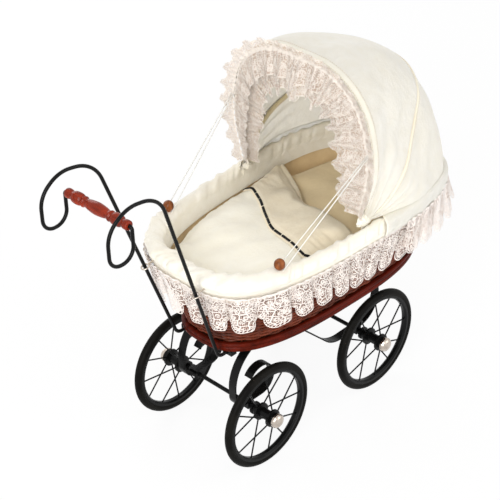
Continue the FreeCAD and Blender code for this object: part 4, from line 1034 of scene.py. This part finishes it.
def dent_pillow(points):
    """Draws the pillow under the fold and presses a hollow where the doll's head lies."""
    x, y, z = points.T
    x += slope(pillow_hold - x, 0, 0.089) * (fold_at(y) - 0.01 - pillow_end)
    top = slope(z, 0.262, 0.277)
    z += top * (0.002 * lumps(points, 0.07, 5) + 0.0008 * lumps(points, 0.03, 6))
    z -= top * hump(x, 0.17, 0.045) * hump(y, 0, 0.05) * 0.004
    np.clip(z, mattress_top, 0.2945, out=z)


def softened(piece):
    finer = piece.modifiers.new("softened", "SUBSURF")
    finer.levels = finer.render_levels = 1


mattress = stuffed_form("kapok_mattress", [
    (0.1912, 0.012, 0.93), (0.1925, 0.0105, 1.0), (0.205, 0.0098, 1.0), (0.222, 0.0098, 1.0),
    (0.231, 0.0106, 0.99), (0.2335, 0.014, 0.95)], -1.0, 1.0, pillow_cotton, 160)
pillow = plump(stuffed_form("head_pillow", [
    (0.236, 0.034, 0.84), (0.239, 0.026, 0.93), (0.25, 0.022, 1.0), (0.262, 0.021, 1.0),
    (0.274, 0.024, 0.97), (0.282, 0.03, 0.88), (0.286, 0.036, 0.72), (0.288, 0.042, 0.45)],
    pillow_end, 0.222, pillow_cotton), pressure=3.0, cap=0.004)
quilt = plump(stuffed_form("thick_quilt", [
    (0.236, 0.03, 0.93), (0.2385, 0.025, 0.97), (0.255, 0.021, 1.0), (0.274, 0.0185, 1.0),
    (0.287, 0.0185, 1.0), (0.2935, 0.021, 0.97), (0.2968, 0.027, 0.9),
    (0.2988, 0.036, 0.74), (0.2998, 0.046, 0.45)],
    -1.0, quilt_end, quilt_cotton, 150), pressure=4.0, cap=0.0035)
for piece, dent in ((quilt, dent_quilt), (pillow, dent_pillow)):
    points = points_of(piece.data)
    dent(points)
    set_points(piece.data, points)
for piece, node, fill in ((mattress, "mattress", 0.8), (pillow, "pillow", 0.6),
                          (quilt, "blanket", 0.6)):
    softened(piece)
    belongs(piece, chassis, node)

# ---- turned-back quilt edge
# The quilt's head end is folded back over itself as a slanting flap. A black ribbon is
# threaded along its hem, and one corner stands up against the hood.


def ribbon_finish():
    nodes = Finish("black_ribbon")
    ribs = nodes.wave(nodes.part(nodes.place(source="UV"), 0), length=0.0006)
    cloud = nodes.noise(nodes.place(), 120.0, 3.0)
    colour = nodes.blend(nodes.between(cloud, 0.4, 0.7), (0.004, 0.004, 0.005),
                         (0.014, 0.013, 0.014))
    return nodes.surface(colour, 0.55, ribs, 0.0002, 0.4, specular_ior_level=0.12)


ribbon_black = ribbon_finish()
# painted shade: the flap takes a darker tan copy of the quilt's cotton, for the shade it lies in
# towards the pillow
quilt_lining_cotton = cotton_finish("quilt_lining_cotton", (0.87, 0.79, 0.63),
                                    (0.78, 0.68, 0.5), 1.6)
quilt_surface = surface_of(quilt)
sky_height, lowest_rest = 0.5, 0.2865


def height_under(surface, x, y):
    """How high a surface is at a place, or None beside it."""
    hit = surface.ray_cast(Vector((x, y, sky_height)), Vector((0, 0, -1)))[0]
    return hit.z if hit else None


def rest_height(x, y):
    return max(height_under(quilt_surface, x, y) or 0.0, lowest_rest)


hem_stations = [(38, 96), (39, 84), (30, 64), (14, 39), (-2, 16), (-15, -5), (-21, -26),
                (-26, -51), (-31, -73), (-33, -86), (-28, -95)]
flap_across, flap_along, flap_width, flap_length = 90, 60, 0.19, 0.09
edge_thickness, plumpness, edge_roll, corner_lift = 0.0012, 0.0042, 0.012, 0.0105
hem_line = finer_line(hem_stations, flap_across) / 1000
peak_line = finer_line(fold_line, flap_across)
side = np.arange(flap_across) / (flap_across - 1)
flap_top, flap_under = [], []
for k in range(flap_along):
    part = k / (flap_along - 1)
    plan = hem_line * (1 - part) + peak_line * part
    # it thins to its edges, and its corner by the hood stands up
    edge = np.minimum(min(part, 1 - part) * flap_length,
                      np.minimum(side, 1 - side) * flap_width)
    thick = edge_thickness + plumpness * np.minimum(1.0, edge / edge_roll) ** 0.6
    lift = corner_lift * slope(part, 0.45, 1.0) ** 1.6 * slope(0.48 - side, 0, 0.48)
    valley = np.maximum(-0.002 * hump(side, 0.5, 0.1) * part, -0.0006)
    base = np.array([rest_height(x, y) for x, y in plan]) + 0.0008 + lift + valley
    spots = np.column_stack([plan, base])
    swell = 0.0011 * lumps(spots, 0.055, 8) + 0.0006 * lumps(spots, 0.024, 9)
    flap_under.append(spots)
    flap_top.append(np.column_stack([plan, base + thick + swell * slope(thick, 0, 0.005)]))
count = flap_across * flap_along
faces = grid_faces(flap_along, flap_across)[0]
faces += [tuple(count + a for a in face)
          for face in grid_faces(flap_along, flap_across, across_first)[0]]
index = np.arange(count).reshape(flap_along, flap_across)
border = np.concatenate([index[0], index[1:, -1], index[-1, -2::-1], index[-2:0:-1, 0]]).tolist()
faces += [(a, b, count + b, count + a) for a, b in zip(border, border[1:] + border[:1])]
flap = closed_up(named_mesh("turned_back_flap", np.concatenate(flap_top + flap_under), faces,
                            quilt_lining_cotton), fill=False)
softened(flap)
belongs(flap, chassis, "blanket_turnover")

ribbon_line = finer_line(hem_stations, 260) / 1000
ahead = of_length_one(np.gradient(ribbon_line, axis=0))
aside = np.column_stack([ahead[:, 1], -ahead[:, 0]])
ribbon_length, flap_surface = lengths_along(ribbon_line), surface_of(flap)
ribbon_width, ribbon_inset, stitch_gap = 0.0034, 0.0036, 0.0165
ribbon_rise, tucked_depth, tucked_from = 0.0009, 0.0019, 0.88
ribbon_rows = []
for spot, side, length in zip(ribbon_line, aside, ribbon_length):
    stitch = (length / stitch_gap + 0.2 * math.sin(length * 61)) % 1.0
    under = tucked_depth if stitch > tucked_from else 0.0
    ribbon_rows.append([])
    for across in np.linspace(-1, 1, 5):
        x, y = spot + side * across * ribbon_width / 2 - side * ribbon_inset
        base = height_under(flap_surface, x, y) or rest_height(x, y) + 0.003
        ribbon_rows[-1].append((x, y, base + ribbon_rise - under - 0.0004 * across ** 2))
ribbon = grid_mesh("threaded_ribbon", ribbon_rows, ribbon_length[:, None],
                   np.arange(5) / 4 * ribbon_width, ribbon_black, order=across_first)


def thickened(piece, name, thickness, offset=-1.0):
    layers = piece.modifiers.new(name, "SOLIDIFY")
    layers.thickness, layers.offset = thickness, offset
    return piece


belongs(thickened(ribbon, "ribbon_thickness", 0.0005, 0.0), chassis,
        "blanket_ribbon")

# ---- cord knobs
# Two turned beech knobs, stained brown and varnished, are screwed down through the rim
# cover. The hood's elastic loops are hooked round their necks.


def turned_piece(name, profile, middle, axes, material, fill):
    """A lathe-turned form; profile holds radii and stations, axes the order of X, Y and Z."""
    turns = np.arange(40) * full_turn / 40
    rings = [middle + np.column_stack([radius * np.cos(turns), radius * np.sin(turns),
                                       np.full(40, station)])[:, axes]
             for radius, station in profile]
    return closed_up(ring_surface(name, rings, material), fill)


knob_wood = wood_finish("brown_beech", (0.085, 0.022, 0.006), (0.3, 0.09, 0.024), 0.3, 0.2,
                        (190.0, 190.0, 60.0))
knob_outline = [(0.0, 0.0), (4.6, 0.0), (5.0, 0.3), (5.0, 1.0), (4.4, 1.5), (3.5, 2.6),
                (3.2, 4.2), (3.3, 6.0), (3.9, 7.7), (5.2, 9.0), (6.6, 10.7), (7.4, 13.0),
                (7.5, 15.2), (7.1, 17.6), (6.0, 19.8), (4.3, 21.5), (2.2, 22.5), (0.0, 22.7)]
for side_name, _ in both_sides:
    node_name = "cord_knob_" + side_name
    foot = np.append(middle_of(node_name)[:2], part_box(node_name)[0][2])
    belongs(turned_piece("turned_knob_" + side_name,
                         (finer_line(knob_outline, 46) / 1000)[-2:0:-1], foot, [0, 1, 2],
                         knob_wood, fill=True), chassis, node_name)

# ---- push handle
# Two bent steel rods run from saddles under the base through screw eyes in the rim. They
# arch over, curl down and turn into the ends of a turned, red-lacquered hardwood grip.
grip_wood = wood_finish("red_lacquered_wood", (0.07, 0.006, 0.003), (0.3, 0.03, 0.009), 0.3,
                        0.18, (170.0, 22.0, 170.0))
dress(["handle_rod_left", "handle_rod_right", "rod_saddles"], enamel)
dress(["rod_eyes"], nickel)
(_, right_end, _), (_, left_end, _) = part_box("handle_grip")
full, neck, tip, hole = 8.25, 5.5, 6.5, 2.7
# radius and share of the length, up to the middle bead; the other half is the same
grip_half = [(hole, 0.0), (tip * 0.8, 0.0), (tip, 0.015), (tip, 0.06), (neck, 0.085),
             (neck * 1.02, 0.1), (full * 0.93, 0.135), (full, 0.19), (full * 0.93, 0.235),
             (neck, 0.262), (full * 0.9, 0.29), (neck * 1.05, 0.325), (full * 0.88, 0.4)]
grip_outline = grip_half + [(full, 0.5)] + [(r, 1 - share) for r, share in grip_half[::-1]]
grip_length, grip_middle = left_end - right_end, middle_of("handle_grip")
grip_middle[1] = right_end
belongs(turned_piece("lacquered_grip", finer_line(
    [(r, share * grip_length * 1000) for r, share in grip_outline], 150) / 1000,
    grip_middle, [0, 2, 1], grip_wood, fill=False), "grip", "handle_grip")

# ---- hood bows
# Two bent wire bows turn on pins inside the rim. The middle one is drawn through a cotton
# sleeve; the front one lies in a channel at the edge of the hood. Their ends and plates are
# bound in the same cotton.
sleeve_cotton = cotton_finish("sleeve_cotton", (0.82, 0.72, 0.48), (0.75, 0.64, 0.4))
dress(["hood_front_hoop", "hood_mid_hoop", "hood_pivot_left", "hood_pivot_right"],
      cream_cotton)
pivot = np.array([0.061, 0.0, 0.3205])
# leg half-width and height, shoulder, top, and the radii of the shoulder and the top, in mm
front_bow, middle_bow, tail_bow = np.array([
    [105.6, 4.4, 129.0, 94.0, 98.0, 215.0, 180.0, 96.0],
    [109.1, 4.4, 134.0, 64.0, 62.0, 229.0, 112.0, 90.0],
    [109.1, 4.4, 132.0, 92.0, 100.0, 208.0, 120.0, 82.0]]) / 1000
front_lean, middle_lean, tail_lean = 0.0, 50.0, 90.0


def bow_line(bow, count, foot):
    """Evenly spaced half-widths and heights over a bow, from its left foot to its right; the
    way outward at each of them, and the whole length."""
    leg, shoulder, top, (wide, narrow) = bow.reshape(4, 2)
    left = [leg + (shoulder - leg) * (foot - leg[1]) / (shoulder[1] - leg[1]), shoulder, top]
    corners = left + [p * (-1, 1) for p in left[::-1]]
    line = [corners[0]]
    for before, corner, after, radius in zip(corners, corners[1:-1], corners[2:],
                                             (wide, narrow, narrow, wide)):
        came, goes = [way / np.linalg.norm(way) for way in (corner - before, after - corner)]
        half = math.acos(float(np.clip(np.dot(came, goes), -1, 1))) / 2
        start = corner - came * radius * math.tan(half)
        hub = start + np.array([-came[1], came[0]]) * radius
        (x, y), turns = start - hub, 2 * half * np.arange(17) / 16
        line += list(hub + np.column_stack([x * np.cos(turns) - y * np.sin(turns),
                                            x * np.sin(turns) + y * np.cos(turns)]))
    line = np.array(line + [corners[-1]])
    length = lengths_along(line)
    spots = np.linspace(0, length[-1], count)
    line = np.column_stack([np.interp(spots, length, line[:, axis]) for axis in (0, 1)])
    ahead = of_length_one(np.gradient(line, axis=0))
    return line, np.column_stack([ahead[:, 1], -ahead[:, 0]]), length[-1]


def leaned(line, degrees, forward=0.0):
    """Half-widths and heights set up in the hood's plane at a lean, or forward of it."""
    lean = math.radians(degrees)
    forward = np.asarray(forward) * np.ones(len(line))
    return pivot + np.column_stack([
        line[:, 1] * math.sin(lean) - forward * math.cos(lean), line[:, 0],
        line[:, 1] * math.cos(lean) + forward * math.sin(lean)])


def from_feet(count, length):
    """How far each of evenly spaced points is from the nearer end of a length."""
    places = np.linspace(0, 1, count)
    return np.minimum(places, 1 - places) * length


def bow_sleeve(name, body, bow, lean, foot, radius, material):
    belongs(tube(name, leaned(bow_line(bow, 160, foot)[0], lean), radius, 12, material),
            body)


bow_sleeve("middle_bow_sleeve", "hood_mid", middle_bow, middle_lean, 0.016, 0.0031,
           sleeve_cotton)

# ---- hood cloth
# Two shaped panels of cream cotton, lined with the same, sewn over the bows. They are
# drawn together at the pivots, so folds fan out from there, and sag a little between bows.
# The cloth is thin enough to let some light through.
hood_cotton = cotton_finish("hood_cotton", (0.945, 0.905, 0.8), (0.885, 0.83, 0.69), 2.4,
                            subsurface_weight=0.5, subsurface_radius=(0.012, 0.0115, 0.0105),
                            subsurface_scale=1.0)
cloth_stand, fan_depth, slack_depth, pucker_depth = 0.004, 0.0036, 0.0044, 0.00075
fan_reach, seam_reach, panel_depth, hood_foot = 0.06, 0.01, 0.16, 0.008


def cloth_grid(name, rows, u_length, v_length, material=hood_cotton, order=across_first):
    """A sheet through rows of points, with its flat cloth's metres as UV."""
    height, width = len(rows), len(rows[0])
    return grid_mesh(name, rows, np.arange(width) / (width - 1) * u_length,
                     (np.arange(height) / (height - 1) * v_length)[:, None], material, order=order)


def hood_panel(name, node, bows, leans, rows, seed, sag, columns=260):
    """A panel from one bow to the next, folded near its feet and puckered at its seams."""
    surface, places = [], np.linspace(0, 1, columns)
    for row in range(rows):
        part = row / (rows - 1)
        bow = bows[0] * (1 - part) + bows[1] * part
        line, outward, length = bow_line(bow, columns, hood_foot)
        foot_way = from_feet(columns, length)
        side_phase = np.where(places < 0.5, 0.0, 0.37)
        seam = np.exp(-min(part, 1 - part) * panel_depth / seam_reach)
        middle, beyond = math.sin(math.pi * part), int(part > 0.5)
        fan = np.exp(-foot_way / fan_reach) * slope(foot_way, 0, 0.012)
        folds = np.sin(full_turn * (3.2 * part + side_phase)
                       + 1.6 * ripple(foot_way / 0.5, 9, seed))
        broad = (ripple(places * 0.9 + part * 0.1, 13, seed + 1) * 0.55
                 + ripple(places * 0.9 - part * 0.16, 23, seed + 2) * 0.3
                 + ripple(part * 0.5 + places * 0.05, 9, seed + 3) * 0.35)
        pucker = (ripple(places, 92, seed + 4 + beyond) * 0.6
                  + ripple(places, 160, seed + 6 + beyond) * 0.4)
        push = (cloth_stand - sag * middle ** 1.2 * slope(foot_way, 0, 0.05)
                + fan_depth * fan * folds * middle
                + slack_depth * middle ** 0.6 * broad * np.clip(foot_way / 0.03, 0.2, 1)
                + pucker_depth * seam * pucker * (0.15 + middle ** 0.25))
        surface.append(leaned(line + outward * push[:, None],
                              leans[0] + (leans[1] - leans[0]) * part))
    return belongs(thickened(cloth_grid(name, surface, 0.62, 0.19), "cloth_and_lining", 0.0011),
                   None, node)


front_panel = hood_panel("hood_front_cloth", "hood_front_panel", (front_bow, middle_bow),
                         (front_lean, middle_lean), rows=56, seed=31, sag=0.003)
rear_panel = hood_panel("hood_rear_cloth", "hood_rear_panel", (middle_bow, tail_bow),
                        (middle_lean, tail_lean), rows=46, seed=41, sag=0.0016)
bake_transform(front_panel)
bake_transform(rear_panel)

# ---- hood seams and hem
# The front edge is a double-stitched channel round the wire; a corded seam covers the
# middle bow. Below, a deep hem is drawn down over the outside of the rim.
seam_cotton = cotton_finish("seam_cotton", (0.89, 0.84, 0.7), (0.81, 0.74, 0.58))
sewing_thread = cotton_finish("sewing_thread", (0.72, 0.6, 0.43), (0.62, 0.5, 0.34))


def near_feet(count, length):
    """How wide a strip along a bow is, as a share: it narrows to its feet, where bows meet."""
    return np.clip(from_feet(count, length) / 0.05, 0.12, 1)


def bow_band(name, body, bow, lean, low_forward, high_forward, crown, material, foot=0.01,
             base=0.0039, columns=220):
    """A narrow rounded strip that follows a bow over the cloth."""
    line, outward, length = bow_line(bow, columns, foot)
    gathers = 0.00022 * ripple(np.linspace(0, 1, columns), 120, 51)
    width = high_forward - low_forward
    strip = [leaned(line + outward * (base + crown * math.sin(math.pi * part) ** 0.7
                                      + gathers)[:, None],
                    lean, (low_forward + width * part) * near_feet(columns, length))
             for part in np.linspace(0, 1, 9)]
    return belongs(cloth_grid(name, strip, 0.6, abs(width), material, across_first[::-1]),
                   body)


bow_sleeve("front_bow_sleeve", "hood_front", front_bow, front_lean, 0.012, 0.0027, hood_cotton)
channel = bow_band("front_channel", "hood_front", front_bow, front_lean, -0.0105, 0.0022,
                   crown=0.0013, material=hood_cotton)
bow_band("middle_seam", "hood_mid", middle_bow, middle_lean, -0.0042, 0.0042, crown=0.0019,
         material=seam_cotton, foot=0.022)


def stitch_tree():
    """Short thread stitches set along guide lines."""
    nodes, given = shape_tree("thread_stitches", [
        ("Stitch length", "Float"), ("Thread radius", "Float")], "Stitches")
    lines = nodes.add("GeometryNodeMeshToCurve", inputs={"Mesh": given["Guides"]})
    spots = nodes.add("GeometryNodeCurveToPoints", {"mode": "LENGTH"}, {
        "Curve": lines, "Length": given["Stitch length"] * 1.55})
    bead = nodes.add("GeometryNodeMeshUVSphere", inputs={
        "Segments": 6, "Rings": 4, "Radius": given["Thread radius"]})
    stretched = nodes.add("GeometryNodeTransform", inputs={
        "Geometry": bead, "Scale": nodes.add("ShaderNodeCombineXYZ", inputs={
            0: 1.0, 1: 1.0, 2: given["Stitch length"] / given["Thread radius"] * 0.5})})
    placed = nodes.add("GeometryNodeInstanceOnPoints", inputs={
        "Points": spots, "Instance": stretched,
        "Rotation": Socket(nodes, spots.output.node.outputs["Rotation"])})
    return tree_end(nodes, placed, given["Finish"], "Stitches")


stitching = stitch_tree()
for name, body, bow, lean, rise, foot, both_forward in (
        ("front_channel_stitches", "hood_front", front_bow, front_lean, 0.005, 0.012,
         (-0.0092, 0.0008)),
        ("middle_seam_stitches", "hood_mid", middle_bow, middle_lean, 0.0046, 0.024,
         (-0.004, 0.004))):
    line, outward, length = bow_line(bow, 200, foot)
    belongs(made_real(guide_lines(name, [
        leaned(line + outward * rise, lean, forward * near_feet(200, length))
        for forward in both_forward]), stitching, sewing_thread,
        Stitch_length=0.0024, Thread_radius=0.00032), body)

hem_columns, hem_centre, hem_stand = 240, 0.15, 0.0058
hem_edge, hem_top, hem_drop = 0.3222, 0.3212, 0.0262
tail_edge, tail_out, _ = bow_line(tail_bow, hem_columns, 0.03)
tail_edge = leaned(tail_edge + tail_out * cloth_stand, tail_lean)
edge_angle = np.unwrap(np.arctan2(tail_edge[:, 1], tail_edge[:, 0] - hem_centre))
hem_turns = even_turns(2000)
hem_rows, hem_places = [], np.linspace(0, 1, hem_columns)
for part in np.linspace(0, 1, 18):
    height = hem_top - hem_drop * part
    # the basket's outline where it is seen from the hem's middle at the edge's angles
    ring = basket_ring(hem_turns, height, hem_stand)
    seen = np.unwrap(np.arctan2(ring[:, 1], ring[:, 0] - hem_centre))
    angles = (edge_angle - seen[0]) % full_turn + seen[0]
    fall = min(1.0, part / 0.22)
    over = math.sin(fall * math.pi / 2)
    row = tail_edge * (1 - over) + over * np.column_stack(
        [np.interp(angles, seen, ring[:, axis]) for axis in (0, 1, 2)])
    row[:, 2] = hem_edge if part == 0 else height + 0.0012 * (1 - fall)
    crease = (ripple(hem_places + part * 0.02, 34, 61) * 0.6
              + ripple(hem_places - part * 0.03, 71, 62) * 0.4)
    row += np.abs(outward_of_strip(row)) * np.sign(row - [hem_centre, 0, 0]) * (
        (0.0012 * over * (crease + 0.6))[:, None]) * [1, 1, 0]
    hem_rows.append(row)
hem = belongs(thickened(cloth_grid("hood_hem_cloth", hem_rows, 0.56, 0.03), "hem_thickness",
                        0.001), chassis, "hood_hem")

# ---- hood lace
# The same gathered lace: one flounce hangs from the hem round the head of the pram. Two
# rows of frills and a ruffled heading stand forward all round the hood's opening.
cord_tape = cotton_finish("cord_tape", (0.9, 0.875, 0.8), (0.83, 0.79, 0.69))
rear_lace = belongs(gathered_ring(
    "gathered_rear_flounce", "rear_lace", columns=760, rows=20, top=0.2985, offset_top=0.0076,
    flare=0.015, flat_length=0.8,
    folding=dict(folds=14, seed=71, depth=0.008, gap=0.043, drop=0.054),
    start=-0.192, end=0.192, closed=False, head_flare=0.019), chassis, "hood_rear_lace")


def opening_frill(name, forward_start, forward, flat_length, folding, net_thread, node=None,
                  way=1.0, rows=20, columns=1000):
    """A gathered strip from the front bow, into the opening or out of it, standing forward."""
    gathers = Gathers(np.linspace(0, 1, columns), **folding)
    line, outward, length = bow_line(front_bow, columns, 0.012)
    ahead = np.column_stack([-outward[:, 1], outward[:, 0]])
    wide = 0.55 + 0.45 * slope(from_feet(columns, length), 0, 0.085)
    frill = []
    for row in range(rows + 1):
        reach, part, push, slip = gathers.at(row / rows, 0.5, 0.0008)
        reach = way * reach * wide * (1 + 0.06 * (gathers.tall - 1))
        frill.append(leaned(line - outward * reach[:, None] - ahead * slip[:, None], front_lean,
                            forward_start + forward * part + push))
    looks = ((0.61, 0.47, 0.375), (0.8, 0.735, 0.665), net_thread, 0.007)
    return belongs(lace_mesh(name, name + "_lace", frill, gathers, flat_length, looks,
                             turned=True), "hood_front", node)


inner_frill = opening_frill(
    "inner_frill", 0.003, 0.006, 0.72,
    dict(folds=13, seed=81, depth=0.0052, gap=0.057, drop=0.066), 0.22, "hood_front_lace")
outer_frill = opening_frill(
    "outer_frill", 0.006, 0.014, 0.74,
    dict(folds=17, seed=85, depth=0.0072, gap=0.036, drop=0.044), 0.17)
heading_frill = opening_frill(
    "heading_frill", 0.007, 0.007, 0.78,
    dict(folds=21, seed=88, depth=0.0046, gap=0.015, drop=0.019), 0.17, way=-1.0, rows=8)

# the hood's corners, drawn into small pleats that meet over the bows' pins
turns, pleat_count, round_reach, low_reach = np.arange(144) / 144 * full_turn, 13, 0.015, 0.006
for side_name, side in both_sides:
    low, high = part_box("hood_pivot_" + side_name)
    middle = np.array([(low[0] + high[0]) / 2 + 0.002, (high[1] if side > 0 else low[1]),
                       high[2] - 0.0032])
    rings = []
    for ring in np.linspace(0.06, 1.0, 16):
        pleats = np.sin(pleat_count * turns + 1.3 * np.sin(2 * turns))
        pleats *= math.sin(math.pi * ring) ** 0.8
        reach, up = ring * (1 + 0.06 * np.sin(pleat_count * turns + 1.0)), np.sin(turns)
        rings.append(middle + np.column_stack([
            reach * round_reach * np.cos(turns),
            side * (0.0052 * math.sqrt(1 - 0.96 * ring ** 2) - 0.004 * ring + 0.0011 * pleats),
            reach * np.where(up > 0, round_reach, low_reach) * up]))
    belongs(ring_surface("hood_corner_" + side_name, rings[::side], hood_cotton),
            chassis)
dress(["cord_tabs"], cord_tape)

# ---- floor and light
# A pale floor and soft, even light. To the camera, in reflections and through thin cloth
# the floor and the sky are near white; the floor keeps the pram's shadow.
floor_nodes = Finish("studio_floor")
grey = floor_nodes.add("ShaderNodeBsdfDiffuse", inputs={"Color": (0.93, 0.93, 0.93)})
glow = floor_nodes.add("ShaderNodeEmission", inputs={"Color": (1.0, 1.0, 1.0), "Strength": 1.0})
floor_nodes.add("ShaderNodeOutputMaterial", inputs={"Surface": floor_nodes.add(
    "ShaderNodeMixShader", inputs={0: floor_nodes.camera_sees() * 0.9, 1: grey, 2: glow})})
named_mesh("studio_floor", [(-6, -6, 0), (6, -6, 0), (6, 6, 0), (-6, 6, 0)],
                    [(0, 1, 2, 3)], floor_nodes.material, smooth=False)

scene.world = bpy.data.worlds.new("studio")
scene.world.use_nodes = True
sky = Nodes(scene.world.node_tree)
sky.add("ShaderNodeOutputWorld", inputs={"Surface": sky.add("ShaderNodeBackground", inputs={
    "Color": (1.0, 1.0, 1.0), "Strength": sky.camera_sees() * 0.38 + 0.62})})
aim = Vector((0.03, 0, 0.25))
# each lamp's place, width in metres and power in watts
for name, place, size, power in (
        ("key_light", (-1.6, -0.9, 1.8), 1.4, 23.0),
        ("opening_light", (-2.0, -1.2, 0.85), 1.0, 18.0),
        ("side_light", (1.3, -1.9, 1.5), 1.6, 11.0), ("back_light", (0.7, 2.2, 1.3), 1.6, 22.0),
        ("fill_light", (0.5, -2.2, 1.0), 1.6, 6.0)):
    lamp = bpy.data.lights.new(name, "AREA")
    lamp.shape, lamp.size, lamp.energy = "SQUARE", size, power
    holder = linked(name, lamp)
    holder.location = place
    holder.rotation_euler = (aim - Vector(place)).to_track_quat("-Z", "Y").to_euler()

scene.view_settings.view_transform = "Standard"
